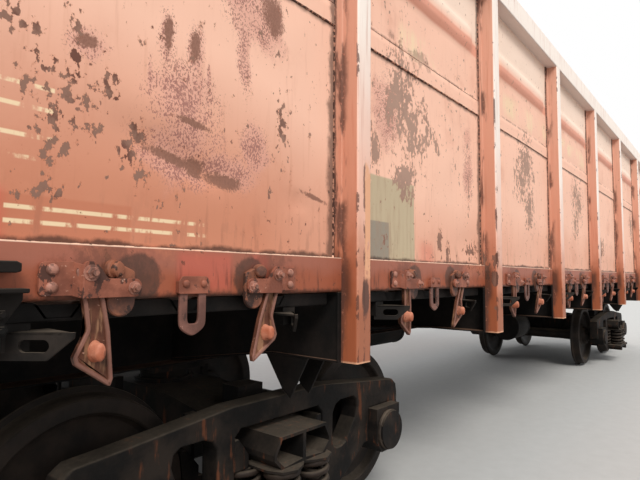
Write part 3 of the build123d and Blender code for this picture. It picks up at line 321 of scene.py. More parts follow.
# Worn places on the near side: x, z, half length, half height in millimetres, and tilt
SPOTTED = (
    (-5683, 1921, 45, 55, 0.5), (-5585, 1925, 28, 32, 0), (-5575, 2005, 60, 45, 0.2),
    (-5660, 2000, 60, 70, 0), (-5642, 2110, 22, 85, 0), (-5700, 1845, 35, 40, 0),
    (-5650, 1848, 16, 24, 0), (-5743, 1712, 26, 32, 0), (-5693, 1718, 30, 30, 0),
    (-5642, 2225, 18, 50, 0.2), (-5760, 2010, 30, 50, 0), (-4785, 2100, 34, 150, 0),
    (-5790, 2160, 50, 50, 0), (-5530, 2060, 35, 45, 0), (-5458, 1885, 30, 85, 0),
    (-5425, 1815, 28, 75, 0.75), (-5425, 1930, 50, 26, 0),
)
FLAKED = (
    (-3800, 2500, 170, 270, 0), (-3690, 2330, 160, 190, 0.3), (-3965, 2430, 60, 130, 0),
    (-3520, 2400, 40, 150, 0.2), (-3420, 2320, 110, 45, -0.8), (-3780, 2040, 140, 100, 0.2),
    (-3870, 2590, 80, 110, 0), (-4080, 2160, 80, 90, 0), (-2860, 1670, 100, 70, 0),
    (-3340, 1690, 35, 110, 0), (-3240, 1650, 35, 80, 0), (-3990, 1680, 25, 35, 0),
    (-1680, 2500, 220, 240, 0), (-1800, 2330, 180, 180, 0), (-1620, 2130, 150, 220, 0),
    (200, 2400, 220, 220, 0), (100, 2130, 150, 170, 0), (-2900, 2050, 20, 180, 0),
    (1420, 1900, 240, 150, 0), (4020, 2420, 160, 260, 0), (5100, 1950, 260, 160, 0.2),
)
SCOURED = (
    (-5270, 1960, 200, 170, -0.2), (-5260, 2080, 180, 170, 0), (-5100, 1880, 200, 80, -0.1),
    (-4935, 1990, 85, 110, 0), (-5340, 2290, 45, 130, 0), (-5225, 2270, 45, 110, 0),
    (-5600, 2155, 80, 60, 0), (-4870, 2540, 100, 160, 0), (-5020, 2560, 120, 190, 0),
    (-5000, 2330, 45, 200, 0.08), (-5290, 1850, 180, 60, -0.3), (-5400, 2130, 12, 90, 0),
    (-5170, 2200, 12, 70, 0), (-3960, 2400, 140, 240, 0), (-2900, 2200, 100, 300, 0),
)
SMEARED = (
    (-5310, 1882, 135, 26, -0.2), (-5215, 1862, 55, 42, -0.5), (-5090, 1832, 110, 34, -0.1),
    (-5230, 2012, 100, 16, -0.12), (-4580, 1838, 110, 14, -0.2), (-4850, 2560, 80, 130, 0.3),
    (-5335, 2300, 22, 80, 0), (-5225, 2290, 28, 70, 0), (-5600, 2170, 50, 30, 0.2),
)
UNDER_BAND = ((-3620, 2800, 200, 90, 0), (-3900, 2840, 70, 50, 0))
DIRTY_FOOT = ((-4315, 1400, 36, 120, 0),)
print("worn places on the near side:", sum(map(len, (SPOTTED, FLAKED, SCOURED, SMEARED))))

# %% [markdown]
# ## Faded paint over rust
# The body was painted once in a red-orange that has faded to salmon, most of all high up, and painted
# glare makes it paler still towards the top and further along the wagon. Where the paint let go, the
# steel below is brown. Each kind of wear is a mask from 0 to 1, and the colour is laid on in the order
# in which it came: primer, paint, bleaching and painted glare, scours, rust, dirt. The inside was never
# repainted, and its loads have left it brown and dusty, so the side that a face looks to decides
# between two coats.

# %% Faded paint
SALMON = paint(206, 134, 103)
SALMON_PALE = paint(250, 198, 172)
GLARE_WHITE = paint(250, 226, 206)
SALMON_DEEP = paint(186, 104, 74)
SALMON_FRESH = paint(216, 104, 84)
RUST_BROWN = paint(136, 98, 82)
RUST_DARK = paint(84, 52, 42)
RUST_ORANGE = paint(170, 92, 54)
MAUVE = paint(152, 102, 92)
GRIME = paint(62, 44, 36)
CREAM = paint(250, 226, 184)
PRIMER = paint(194, 175, 144)
PRIMER_DARK = paint(146, 136, 122)
DUST = paint(140, 126, 110)
# Noise whose blots are a little taller than they are wide
TALLER = (1.0, 1.0, 0.7)


def loose_places(f, level=0.62, shift=(11.0, 4.0, 2.0)):
    """Scattered patches for the sides that no one has a picture of, as a reach like that of an oval."""
    return (f.grain(1.25, detail=2.0, stretch=TALLER, shift=shift) - level) * 7.0


class BodyPaint(Finish):
    """The paint of the sheets, ends and corner posts. Their outer faces look along axis: x, y or both."""

    def __init__(self, name, axis="y", level=0.62, bleach=0.0):
        super().__init__(name, Specular_IOR_Level=0.25)
        self.cloudy = self.grain(3.1, detail=5.0, roughness=0.6, shift=(3.0, 1.0, 7.0))
        self.ragged = self.grain(13.0, detail=6.0, roughness=0.68, stretch=(1.0, 1.0, 0.75))
        self.drips = self.runs(36.0, 3.4, shift=(1.0, 0.0, 4.0))
        across_x, across_y, _ = self.facing()
        outward = {"x": across_x * self.x, "y": across_y * self.y}
        outward["both"] = outward["x"].highest(outward["y"])
        self.look_out = outward[axis].ramp(-0.05, 0.05)
        self.is_side = axis == "y"
        self.high = self.z.ramp(1.62, 2.62)
        self.along = self.x.ramp(-5.3, -3.7)
        self.loose = loose_places(self, level)
        self.crumbs = self.ragged.swing(2.4) + self.drips.swing(1.0)
        self.stained = None
        # paler upward and along the wagon: fading in the sun, and painted glare over it
        bleached_and_glare = self.high * 1.15 + self.along * 0.62 + self.grain(0.55, detail=2.0).swing(0.8) + bleach
        self.tone = self.mix(bleached_and_glare.clamped(), SALMON, SALMON_PALE)
        self.lay(self.cloudy.ramp(0.5, 0.8) * 0.30, SALMON_DEEP)
        self.lay(self.drips.ramp(0.55, 0.85) * 0.22, RUST_ORANGE)

    def touched_up(self, near):
        """Bare primer, new pink touches and what is left of painted lines and bands."""
        primed = bar(self, -4.22, -3.672, 1.55, 2.02, 0.006) * near
        coat = self.mix(bar(self, -4.22, -3.951, 1.55, 1.779) * 0.9, PRIMER, PRIMER_DARK)
        streaks = (self.drips * 0.6 + self.cloudy * 0.4).ramp(0.46, 0.7)
        coat = self.mix(streaks * 0.5, coat, paint(168, 136, 112))
        self.lay(primed * self.ragged.ramp(0.30, 0.34), coat)
        pink = bar(self, -6.2, -5.8, 1.50, 1.71, 0.02) + bar(self, -3.62, -3.44, 1.50, 1.69, 0.05) * 0.6
        self.lay(pink.clamped() * near * (0.25 + self.cloudy * 0.6).clamped(), SALMON_FRESH)
        self.lay(bar(self, -5.83, -5.448, 1.57, 1.7, 0.006) * near * 0.35, SALMON_DEEP)
        line_rows = [(-6.2, -5.69, z) for z in (1.994, 1.935, 1.857, 1.798)]
        line_rows += [(-5.80, -5.16, z) for z in (1.666, 1.628)]
        lines = bars(self, [(x0, x1, z - 0.006, z + 0.006) for x0, x1, z in line_rows], 0.002)
        self.lay(lines * near * (self.ragged * 0.6 + self.drips * 0.5).ramp(0.62, 0.52) * 0.85, CREAM)
        band_rows = ((-3.83, -3.36, 2.79, 2.94), (-2.21, -0.93, 2.83, 3.0), (-0.5, 0.6, 2.83, 3.0))
        bands = bars(self, band_rows, 0.05)
        self.lay(bands * near * (self.cloudy + self.drips.swing(0.5)).ramp(0.44, 0.64) * 0.6, CREAM)

    def near_wear(self):
        """Wear at the places that the photograph shows, with a painted highlight on each swage and painted
        glare above it. It gives back how near each is to bare steel.
        """
        near = self.near_side()
        tended = near * self.x.ramp(5.7, 5.3)
        scoured = place_reach(self, SCOURED)
        # painted highlight along the lower slope of each swage
        swage_highlight = abs(self.z - (SWAGE_Z - 0.055)).ramp(0.055, 0.030) * self.look_out
        self.lay(swage_highlight * 0.75, paint(228, 148, 122))
        # painted glare: above the swage's middle the upper sheet turns almost white, more so further along
        self.lay(self.z.ramp(SWAGE_Z - 0.02, SWAGE_Z + 0.05) * self.along * 0.8, GLARE_WHITE)
        haze = (scoured + self.cloudy.swing(2.6) + self.ragged.swing(1.2)).ramp(-0.05, 0.55) * tended
        self.lay(haze * 0.60, paint(222, 164, 146))
        self.touched_up(near)
        specks = self.grain(150.0, detail=3.0, roughness=0.7, stretch=TALLER)
        pits = (specks + self.ragged.swing(0.45) + scoured.highest(-1.0) * 0.12).ramp(0.575, 0.635) * tended
        self.lay(pits * (scoured + self.cloudy.swing(1.4)).ramp(-0.25, 0.25) * 0.85, MAUVE)
        smeared = place_reach(self, SMEARED) + self.ragged.swing(1.6) + specks.swing(1.2)
        self.lay(smeared.ramp(0.05, 0.50) * tended * 0.9, paint(138, 96, 79))
        stained = place_reach(self, UNDER_BAND) + self.ragged.swing(3.4)
        self.stained = stained.ramp(0.25, 0.65) * near * 0.75
        flecks = self.grain(40.0, roughness=0.62, stretch=TALLER, shift=(2.0, 0.0, 5.0))
        clustered = place_reach(self, SPOTTED).highest(-0.9) * 0.50 + flecks.swing(4.4) - 0.04
        patches = place_reach(self, FLAKED).highest(self.loose - tended * 4.0).highest(-0.8) * 0.66
        patches = patches + self.crumbs + flecks.swing(3.0) + 0.10
        return patches.highest(clustered - (1.0 - near) * 3.0)

    def rust(self, reach):
        """Brown steel where the reach is high, with an orange fringe, and small spots everywhere."""
        small = self.grain(24.0, detail=3.0, roughness=0.6, stretch=(1.0, 1.0, 0.6), shift=(4.0, 0.0, 9.0))
        spots = (small + self.cloudy.swing(0.30) + self.z.ramp(1.9, 2.4) * 0.012).ramp(0.700, 0.715)
        brown = (self.ragged + self.cloudy.swing(0.6)).ramp(0.36, 0.56)
        rust = self.mix(brown, paint(112, 74, 62), paint(146, 110, 94))
        # rust paler high up and further along the wagon: painted glare
        rust = self.mix(self.along * self.high.ramp(0.0, 0.4) * 0.7, rust, paint(190, 156, 138))
        bare = (reach.ramp(0.33, 0.37) + spots).clamped()
        self.lay(reach.ramp(0.16, 0.34) * 0.35, RUST_ORANGE)
        self.lay(bare, rust)
        return bare

    def dirt(self):
        """Dirt on the chord's edge, over the lap and along the posts, and a darker band on the sheets just
        under the seam.
        """
        gap = self.ragged.swing(0.05)
        edge = self.z + gap * 0.8 + self.cloudy.swing(0.05)
        dirt = edge.ramp(CHORD_TOP_Z + 0.024, CHORD_TOP_Z + 0.006)
        if self.is_side:
            from_post = from_nearest(self, PITCH_X, PITCH_X / 2) + abs(self.x).ramp(4.9, 5.1)
            from_post = from_post + gap * 1.4 + self.cloudy.swing(0.08) - self.z.ramp(2.5, 1.6) * 0.020
            # darker in a band just under the seam
            below_seam = (self.z + gap).ramp(SEAM_Z - 0.035, SEAM_Z - 0.004)
            below_seam = below_seam * self.z.ramp(SEAM_Z + 0.003, SEAM_Z)
            over_lap = (abs(self.z - (LAP_TOP_Z + 0.004)) + gap * 0.5).ramp(0.018, 0.004)
            over_lap = over_lap * self.ragged.ramp(0.40, 0.6)
            if self.stained:
                over_lap = over_lap.highest(self.stained)
            dirt = dirt.highest(from_post.ramp(0.156, 0.122) * 0.85)
            dirt = dirt.highest(below_seam * 0.9).highest(over_lap * 0.7)
        self.lay(dirt * 0.85, GRIME)
        rising = (self.z + gap * 6).ramp(CHORD_TOP_Z + 0.26, CHORD_TOP_Z + 0.05)
        self.lay((self.drips * 0.5 + self.ragged * 0.5).ramp(0.52, 0.60) * rising * 0.22, RUST_BROWN)

    def inner_coat(self):
        """The brown, dusty look of the load space."""
        blotch = self.grain(2.2, detail=7.0, roughness=0.66, shift=(5.0, 5.0, 5.0))
        colour = self.mix(blotch.ramp(0.38, 0.62), paint(112, 76, 60), paint(150, 106, 82))
        runs = self.runs(22.0, 1.4, shift=(2.0, 0.0, 0.0))
        colour = self.mix(runs.ramp(0.52, 0.75) * 0.6, colour, RUST_DARK)
        low_dust = (self.z + self.cloudy.swing(0.8)).ramp(CHORD_Z + 0.7, CHORD_Z)
        return self.mix(low_dust * 0.7, colour, DUST)


def body_paint(name, seen_near=False, **settings):
    f = BodyPaint(name, **settings)
    if seen_near:
        reach = f.near_wear()
    else:
        reach = f.loose.highest(-0.8).lowest(0.9) * 0.85 + f.crumbs
    bare = f.rust(reach)
    f.dirt()
    f.tone = f.mix(f.look_out, f.inner_coat(), f.tone)
    relief = f.ragged * 0.35 + f.grain(80.0, detail=2.0) * 0.16 + f.cloudy * 0.2
    return f.done((0.50 + bare * 0.30 + f.cloudy * 0.14).clamped(), relief)


# %% [markdown]
# ## Posts, chord and top rail
# A post has three parts that age apart: its root, where dirt packs beside the weld, its flanks, which
# stay a deeper orange, and its outer face, which the weather fades to pink and a painted highlight turns
# almost white at the top, and which is knocked bare lower down and darker towards its foot. The chord
# under it is darker and takes all the dirt from the latches, with painted shade along its lower edge and
# a painted highlight along its upper edge. The rail along the top is painted almost white by fading and
# a painted highlight, and its underside is lighter still: painted light thrown up from the ground.

# %% Finishes for posts, chord and rail
# The middle of the patch that a cam rubs, from the hatch's middle and above the chord's foot
RUBBED_X, RUBBED_Z = 0.232, 0.064


def post_paint():
    f = Finish("post_paint", Specular_IOR_Level=0.25)
    out = abs(f.y)
    cloudy = f.grain(4.0, detail=5.0, shift=(3.0, 1.0, 7.0))
    ragged = f.grain(16.0, detail=6.0, roughness=0.68, stretch=(1.0, 1.0, 0.55))
    clumps = f.runs(12.0, 3.0, detail=4.0, shift=(0.0, 0.0, 3.0))
    from_middle = from_nearest(f, PITCH_X, PITCH_X / 2)
    high = f.z.ramp(1.5, 3.3)
    low = (f.z + cloudy.swing(0.5)).ramp(1.85, 1.35)
    along = f.x.ramp(-5.0, -2.0)
    # flanks, front and the streaks over both
    flank = f.mix((high * 0.8 + along * 0.05).clamped(), paint(210, 142, 114), paint(226, 172, 148))
    flank = f.mix(low, flank, paint(164, 90, 58))
    # the front turns almost white at the top: fading in the sun, and a painted highlight over it
    bleached_and_glare = (high * 1.5 + along * 0.3 + cloudy.swing(0.5) - 0.2).clamped()
    front = f.mix(bleached_and_glare, paint(240, 188, 166), paint(254, 240, 228))
    front = f.mix(low * 0.9, front, paint(184, 112, 80))
    # below the chord the front gets darker towards the bottom
    front = f.mix(f.z.ramp(1.42, 1.30) * 0.7, front, paint(152, 92, 66))
    face = out.ramp(FACE_Y - 0.009, FACE_Y - 0.003)
    f.tone = f.mix(face, flank, front)
    f.lay(f.runs(60.0, 2.6).ramp(0.50, 0.8) * 0.40, SALMON_DEEP)
    # the first post has lost a strip of paint, with rust along its edge and dirt under it
    shaky = f.x + ragged.swing(0.030)
    beside = face * f.near_side() * f.x.ramp(-4.2, -4.26) * f.z.ramp(2.12, 2.00)
    peeled = shaky.ramp(-4.326, -4.320) * (f.z + ragged.swing(0.3)).ramp(2.04, 1.98)
    peeled = peeled * (ragged + 0.1).ramp(0.42, 0.50)
    f.lay(peeled * beside * f.z.ramp(1.46, 1.50), paint(232, 172, 134))
    rust_line = abs(shaky + 4.326).ramp(0.011, 0.004) * ragged.ramp(0.44, 0.52)
    f.lay(rust_line * beside * 0.8, paint(96, 60, 50))
    dirty_foot = place_reach(f, DIRTY_FOOT) + ragged.swing(1.6)
    f.lay(dirty_foot.ramp(0.05, 0.40) * beside * 0.9, paint(84, 58, 50))
    # knocks, dirt beside the chord, chipped bends and the foot
    knocked = loose_places(f, 0.60, (1.0, 9.0, 3.0)).highest(-0.8) * 0.7 + low * 0.25 + ragged.swing(2.2)
    bare = knocked.ramp(0.40, 0.46)
    f.lay(bare, f.mix(ragged.ramp(0.42, 0.62), RUST_DARK, RUST_BROWN))
    beside_chord = (abs(f.z - (CHORD_Z + 0.04)) + ragged.swing(0.20)).ramp(0.17, 0.05)
    f.lay(beside_chord * out.ramp(1.572, 1.530) * 0.75, GRIME)
    bend = abs(from_middle - 0.052).ramp(0.012, 0.005) * out.ramp(1.575, 1.584)
    f.lay(bend * (ragged + clumps.swing(0.5) + low * 0.06).ramp(0.56, 0.60) * 0.8, RUST_DARK)
    foot = (f.z + ragged.swing(0.02)).ramp(POST_FOOT_Z + 0.012, POST_FOOT_Z + 0.004)
    f.lay(foot * 0.8, paint(232, 176, 140))
    # rust in the root and along the weld
    chips = f.grain(60.0, detail=2.0).ramp(0.60, 0.66)
    root = (out + ragged.swing(0.05)).ramp(1.545, 1.500) * (clumps + low * 0.10).ramp(0.50, 0.60)
    f.lay(root * 0.85, f.mix(chips, paint(92, 60, 50), paint(160, 104, 84)))
    weld_edge = (from_middle + ragged.swing(0.03)).ramp(0.098, 0.111)
    f.lay(weld_edge * 0.75, f.mix(chips, GRIME, paint(150, 104, 88)))
    relief = ragged * 0.4 + f.grain(90.0, detail=2.0) * 0.2 + cloudy * 0.2
    return f.done((0.48 + bare * 0.3 + root * 0.2 + cloudy * 0.1).clamped(), relief)


def chord_paint():
    f = Finish("chord_paint", Specular_IOR_Level=0.3)
    up = (f.z - CHORD_Z) * (1 / (CHORD_TOP_Z - CHORD_Z))
    cloudy = f.grain(3.4, detail=5.0, shift=(1.0, 1.0, 2.0))
    ragged = f.grain(26.0, detail=6.0, roughness=0.7, stretch=(1.0, 1.0, 0.8))
    drips = f.runs(46.0, 5.0)
    # a little darker towards the lower edge: painted shade
    f.tone = f.mix((up + cloudy.swing(1.2)).ramp(0.35, 0.75), paint(160, 88, 62), paint(164, 100, 80))
    f.lay((cloudy + ragged.swing(0.4)).ramp(0.55, 0.68) * 0.6, paint(196, 120, 90))
    pink_xs = ((-5.28, -5.05), (-4.95, -4.86))
    pink = bars(f, [(*xs, CHORD_Z + 0.02, CHORD_TOP_Z - 0.01) for xs in pink_xs], 0.02)
    f.lay(pink * f.near_side() * 0.6, paint(202, 100, 82))
    f.lay(drips.ramp(0.52, 0.72) * up.ramp(1.0, 0.2) * 0.65, GRIME)
    # what the hooks scour and the cams rub at each hatch
    away = from_nearest(f, PITCH_X, 0.0)
    scour = (abs(away - 0.33) * 4.5 + abs(up - 0.45) * 0.7 + ragged.swing(2.4)).ramp(0.95, 0.35)
    f.lay(scour * 0.45, paint(84, 54, 42))
    aside, above = away - RUBBED_X, f.z - (CHORD_Z + RUBBED_Z)
    from_cam = f.node("ShaderNodeMath", {0: aside * aside + above * above}, operation="SQRT")
    f.lay((from_cam + ragged.swing(0.03)).ramp(0.086, 0.070) * 0.72, paint(66, 50, 42))
    flaked = (ragged + cloudy.swing(0.5) + drips.swing(0.3)).ramp(0.635, 0.66)
    f.lay(flaked * 0.8, f.mix(cloudy.ramp(0.4, 0.6), paint(72, 46, 38), paint(122, 80, 64)))
    # painted shade along the chord's lower edge
    f.lay((up + ragged.swing(0.5)).ramp(0.16, 0.02) * 0.65, GRIME)
    # painted highlight along the chord's upper edge, broken up by noise
    lip = up.ramp(0.975, 0.990) * (ragged + 0.2).ramp(0.48, 0.60)
    f.lay(lip, paint(246, 206, 180))
    relief = (1.0 - flaked) * 0.5 + ragged * 0.4 + f.grain(120.0, detail=2.0) * 0.15
    return f.done((0.44 + flaked * 0.3 + cloudy * 0.2).clamped(), relief, strength=0.6)


def rail_paint():
    f = Finish("rail_paint", Specular_IOR_Level=0.25)
    upward = f.facing()[2]
    cloudy = f.grain(3.0, detail=5.0)
    ragged = f.grain(15.0, detail=6.0, roughness=0.68)
    # almost white, more so further along: fading, and a painted highlight over it
    f.tone = f.mix((f.x + cloudy.swing(3.0)).ramp(-5.0, -2.5), paint(244, 206, 184), paint(254, 240, 228))
    f.lay(f.runs(40.0, 4.0).ramp(0.52, 0.75) * 0.35, SALMON_DEEP)
    # painted light on the underside, as thrown up from the ground
    f.lay(upward.ramp(-0.4, -0.8), paint(240, 226, 220))
    f.lay(upward.ramp(0.4, 0.9) * 0.8, paint(178, 132, 112))
    loose = loose_places(f, 0.62, (3.0, 1.0, 8.0)) - f.near_side() * 4.0
    bare = (loose.highest(-0.8) * 0.7 + ragged.swing(2.2)).ramp(0.42, 0.48)
    f.lay(bare, f.mix(ragged.ramp(0.42, 0.6), RUST_DARK, RUST_BROWN))
    return f.done((0.5 + bare * 0.3 + cloudy * 0.1).clamped(), (1.0 - bare) * 0.6 + cloudy * 0.3)


# %% [markdown]
# ## Grime, cast steel, latch steel and wheels
# Under the chord everything is nearly black: old paint, oil and brake dust, made darker still by
# painted shade. Dust lies only where a face looks up. Latch pieces are handled, so they show worn
# orange paint, dark stains and rubbed edges, and a painted top light where a face looks up.
# Each row of the two tables is a material: its name, its tones as a paint chart gives them, and shares.

# %% Dark frame, cast steel, latch steel and wheels
def dusted(name, dark, light, dust_share, shine=0.62, dust=DUST, streak=None):
    """Dirty steel: two tones, dust where a face looks up, and runs of rust if they are asked for."""
    f = Finish(name, Specular_IOR_Level=0.16)
    blotch = f.grain(5.0, detail=6.0, roughness=0.6)
    fine = f.grain(48.0)
    f.tone = f.mix(blotch.ramp(0.38, 0.66), paint(*dark), paint(*light))
    if streak:
        runs = f.runs(30.0, 5.0, detail=4.0, shift=(3.0, 2.0, 1.0))
        f.lay((runs + blotch.swing(0.5)).ramp(0.60, 0.74) * 0.7, streak)
    upward = f.facing()[2].ramp(0.35, 0.95)
    layer = (upward * (blotch * 0.6 + fine * 0.7)).clamped() * dust_share
    f.lay(layer, dust)
    return f.done((shine + fine * 0.2 + layer * 0.2).clamped(), fine + blotch * 0.5, 0.003)


HOOK_Y, HOOK_T, HOOK_LEAN = CHORD_Y + 0.004, 0.022, 0.026 / 0.250


def handled(name, dark, mid, light, stain=0.5, shine=0.42, rim=None):
    """Latch steel: painted once, rusted, stained with oil and rubbed light in places, with a painted top
    light where a face looks up.

    With a rim colour it is a hook's: its raised edge is rubbed light, and its hollow has a worn streak.
    """
    f = Finish(name, Specular_IOR_Level=0.3)
    light = paint(*light)
    blotch = f.grain(11.0, roughness=0.6)
    fine = f.grain(75.0, roughness=0.65)
    stains = f.grain(17.0, detail=5.0, roughness=0.65, stretch=(1.0, 1.0, 0.6), shift=(4.0, 7.0, 1.0))
    f.tone = f.mix(blotch.ramp(0.40, 0.64), paint(*mid), light)
    # painted top light: faces that look up are lighter
    f.lay((f.facing()[2].ramp(0.2, 0.8) * 0.7 + fine.swing(0.4)).clamped(), light)
    f.lay((stains + blotch.swing(0.25)).ramp(0.565, 0.595) * stain, paint(*dark))
    f.lay((fine + blotch.swing(0.3)).ramp(0.66, 0.72) * 0.6, paint(226, 176, 152))
    if rim:
        leant = (CHORD_Z - f.z).highest(0.0) * HOOK_LEAN
        edge = (abs(f.y) + leant - (HOOK_Y + HOOK_T)).ramp(-0.0060, -0.0015)
        worn = f.runs(45.0, 6.0, detail=4.0).ramp(0.52, 0.66)
        f.lay(worn * (1.0 - edge) * 0.55, paint(182, 138, 104))
        f.lay(edge * (0.4 + blotch * 0.8).clamped(), rim)
    return f.done((shine + stains * 0.3).clamped(), fine * 0.7 + blotch * 0.6, 0.0035, 0.6)


def weld_finish():
    """Rusty beads with light dots, and a painted highlight on the one along the chord."""
    f = Finish("weld_rust", Specular_IOR_Level=0.25)
    dots = f.grain(55.0, detail=3.0)
    f.tone = f.mix(dots.ramp(0.48, 0.56), paint(72, 46, 38), paint(186, 132, 108))
    # painted highlight on the bead along the chord's top
    f.lay(abs(f.z - CHORD_TOP_Z).ramp(0.012, 0.009) * dots.ramp(0.36, 0.44), paint(244, 198, 170))
    return f.done(0.55 + dots * 0.2)


# Frame, castings, wheels, springs, axles, hatches and lugs: dark grime, and painted shade that makes them
# darker than the steel's own colour
DUSTED = {
    "frame": ("underframe_grime_and_shade", (12, 11, 10), (28, 23, 20), 0.30),
    "cast": ("cast_grime_and_shade", (16, 14, 13), (42, 35, 30), 0.42, 0.62, DUST, paint(104, 60, 38)),
    "wheel": ("wheel_steel", (28, 23, 20), (48, 39, 33), 0.3, 0.5),
    "cover": ("cover_dust", (46, 39, 34), (88, 76, 66), 0.4),
    "spring": ("spring_steel", (22, 18, 16), (46, 36, 30), 0.35, 0.5),
    "axle": ("axle_grime_and_shade", (24, 20, 18), (44, 36, 30), 0.4, 0.5),
    "floor_sheet": ("floor_rust", (96, 66, 52), (140, 100, 76), 0.9),
    "hatch": ("hatch_grime", (17, 15, 14), (34, 28, 25), 0.95, 0.62, paint(124, 94, 76)),
    "lug": ("lug_grime_and_shade", (26, 23, 21), (50, 43, 38), 0.5),
}
HANDLED = {
    "step": ("step_rust", (40, 30, 26), (104, 62, 46), (150, 96, 72), 0.6),
    "latch_plate": ("latch_plate_rust", (54, 36, 31), (122, 70, 53), (154, 92, 71), 0.85),
    "latch": ("latch_rust", (40, 29, 26), (84, 54, 44), (146, 90, 66), 0.85),
    "hook": ("hook_rust", (46, 29, 23), (84, 48, 34), (112, 68, 50), 0.7, 0.42, paint(146, 102, 88)),
    "rivet": ("rivet_rust", (56, 42, 38), (132, 88, 73), (180, 126, 108), 0.6, 0.34),
    "knob": ("knob_rust", (92, 52, 40), (172, 96, 68), (204, 132, 104), 0.5),
    "shackle": ("shackle_rust", (54, 38, 33), (96, 64, 55), (124, 84, 73), 0.7),
}
MATERIALS = {
    "side": body_paint("faded_salmon_paint", seen_near=True),
    "end": body_paint("end_paint", axis="x", level=0.60, bleach=0.25),
    "corner": body_paint("corner_paint", axis="both", level=0.63, bleach=0.20),
    "rail": rail_paint(),
    "post": post_paint(),
    "chord": chord_paint(),
    "bead": weld_finish(),
}
MATERIALS.update({key: dusted(*row) for key, row in DUSTED.items()})
MATERIALS.update({key: handled(*row) for key, row in HANDLED.items()})

FINISH_OF = {
    "side": ["side_sheets"],
    "end": ["end_walls"],
    "corner": ["corner_posts"],
    "rail": ["top_chords"],
    "post": ["side_posts"],
    "chord": ["bottom_chords"],
    "step": ["lock_", "tie_", "corner_steps", "end_ladders"],
    "cast": [
        "side_frames", "bogie_", "axle_boxes", "brake_beams", "wedges", "couplers", "striker",
        "centre_plates",
    ],
    "wheel": ["wheelset"],
    "spring": ["springs"],
    "floor_sheet": ["end_floors"],
    "hatch": ["centre_sill", "cross_beams", "bolster_beams", "ridge_beam"],
}
for name, node in NODES.items():
    finish = next((key for key, starts in FINISH_OF.items() if name.startswith(tuple(starts))), "frame")
    node.data.materials.clear()
    node.data.materials.append(MATERIALS[finish])
print("finished", len(NODES), "carried-over pieces with", len(MATERIALS), "finishes")

# %% [markdown]
# ## Tools for making meshes
# A pressed sheet, a casting and a bolt look unlike each other, but each is a row of loops with skin
# between them. So one small class gathers points and faces, and a few helpers on it make the four
# things that a wagon is built from: prisms, turned pieces, bent round bars and pressed sheets. At the
# end every mesh gets its normals sorted, crisp edges where it turns sharply, and a body to ride on.

# %% The form builder
class Form:
    """Points and faces on their way to a mesh."""

    def __init__(self):
        self.points = []
        self.faces = []

    def add(self, points, faces):
        start = len(self.points)
        self.points.extend(tuple(p) for p in points)
        self.faces.extend(tuple(i + start for i in face) for face in faces)
        return self

    def loft(self, loops, ends=True, joined=False):
        """Skin over loops that have as many points each. Joined, the last loop meets the first."""
        count, rows = len(loops[0]), len(loops)
        faces = []
        for row in range(rows if joined else rows - 1):
            below, above = row * count, (row + 1) % rows * count
            for i in range(count):
                j = (i + 1) % count
                faces.append((below + i, below + j, above + j, above + i))
        if ends and not joined:
            faces.append(tuple(reversed(range(count))))
            faces.append(tuple(range((rows - 1) * count, rows * count)))
        return self.add([p for loop in loops for p in loop], faces)

    def join(self, other, change=None):
        """Adds another form, with each point put through change."""
        points = [change(p) for p in other.points] if change else other.points
        return self.add(points, other.faces)


AXES = {"x": (1, 2, 0), "y": (0, 2, 1), "z": (0, 1, 2)}


def laid(flat, axis, at):
    """Flat points put in the plane across an axis: (y, z) for x, (x, z) for y and (x, y) for z."""
    first, second, along = AXES[axis]
    out = []
    for a, b in flat:
        point = [0.0, 0.0, 0.0]
        point[first], point[second], point[along] = a, b, at
        out.append(tuple(point))
    return out


def prism(flat, axis, low, high):
    return Form().loft([laid(flat, axis, low), laid(flat, axis, high)])


def box(xs, ys, zs):
    return prism([(xs[0], ys[0]), (xs[1], ys[0]), (xs[1], ys[1]), (xs[0], ys[1])], "z", *zs)


def ring(cx, cy, radius, steps=20, stretch=1.0):
    turns = [2 * math.pi * i / steps for i in range(steps)]
    return [(cx + radius * math.cos(t), cy + radius * stretch * math.sin(t)) for t in turns]


def turned(profile, centre, axis, steps=24, ends=True):
    """A turned piece from (height, radius) pairs along an axis; heights may run either way."""
    along = AXES[axis][2]
    flat = [centre[i] for i in AXES[axis][:2]]
    loops = [laid(ring(*flat, max(r, 1e-5), steps), axis, centre[along] + h) for h, r in profile]
    return Form().loft(loops, ends=ends)


def softened(flat, radius, steps=4, closed=True):
    """An outline or a path whose corners become arcs. radius may be one number or one for each corner."""
    count = len(flat)
    out = []
    for i, here in enumerate(flat):
        size = radius[i] if isinstance(radius, (list, tuple)) else radius
        if not size or (not closed and i in (0, count - 1)):
            out.append(here)
            continue
        here = Vector(here)
        before, after = Vector(flat[i - 1]) - here, Vector(flat[(i + 1) % count]) - here
        turn = before.angle(after)
        reach = min(size / math.tan(turn / 2), before.length * 0.48, after.length * 0.48)
        start, end = here + before.normalized() * reach, here + after.normalized() * reach
        for k in range(steps + 1):
            t = k / steps
            point = start * (1 - t) ** 2 + here * 2 * t * (1 - t) + end * t ** 2
            out.append((point.x, point.y))
    return out


def moved_out(flat, gap, closed=True):
    """The same outline or path, set off to its right by gap."""
    count = len(flat)
    out = []
    for i, here in enumerate(flat):
        here = Vector(here)
        last = Vector(flat[i - 1]) if closed or i else None
        following = Vector(flat[(i + 1) % count]) if closed or i < count - 1 else None
        normals = []
        for a, b in ((last, here), (here, following)):
            if a is not None and b is not None and (b - a).length > 1e-9:
                way = (b - a).normalized()
                normals.append(Vector((way.y, -way.x)))
        middle = sum(normals, Vector((0, 0))) / len(normals)
        out.append(tuple(here + middle * (gap / max(middle.length_squared, 0.25))))
    return out


def thickened(path, gap):
    """The outline of a bent sheet: an open path, and back along its other face."""
    return path + moved_out(path, gap, closed=False)[::-1]


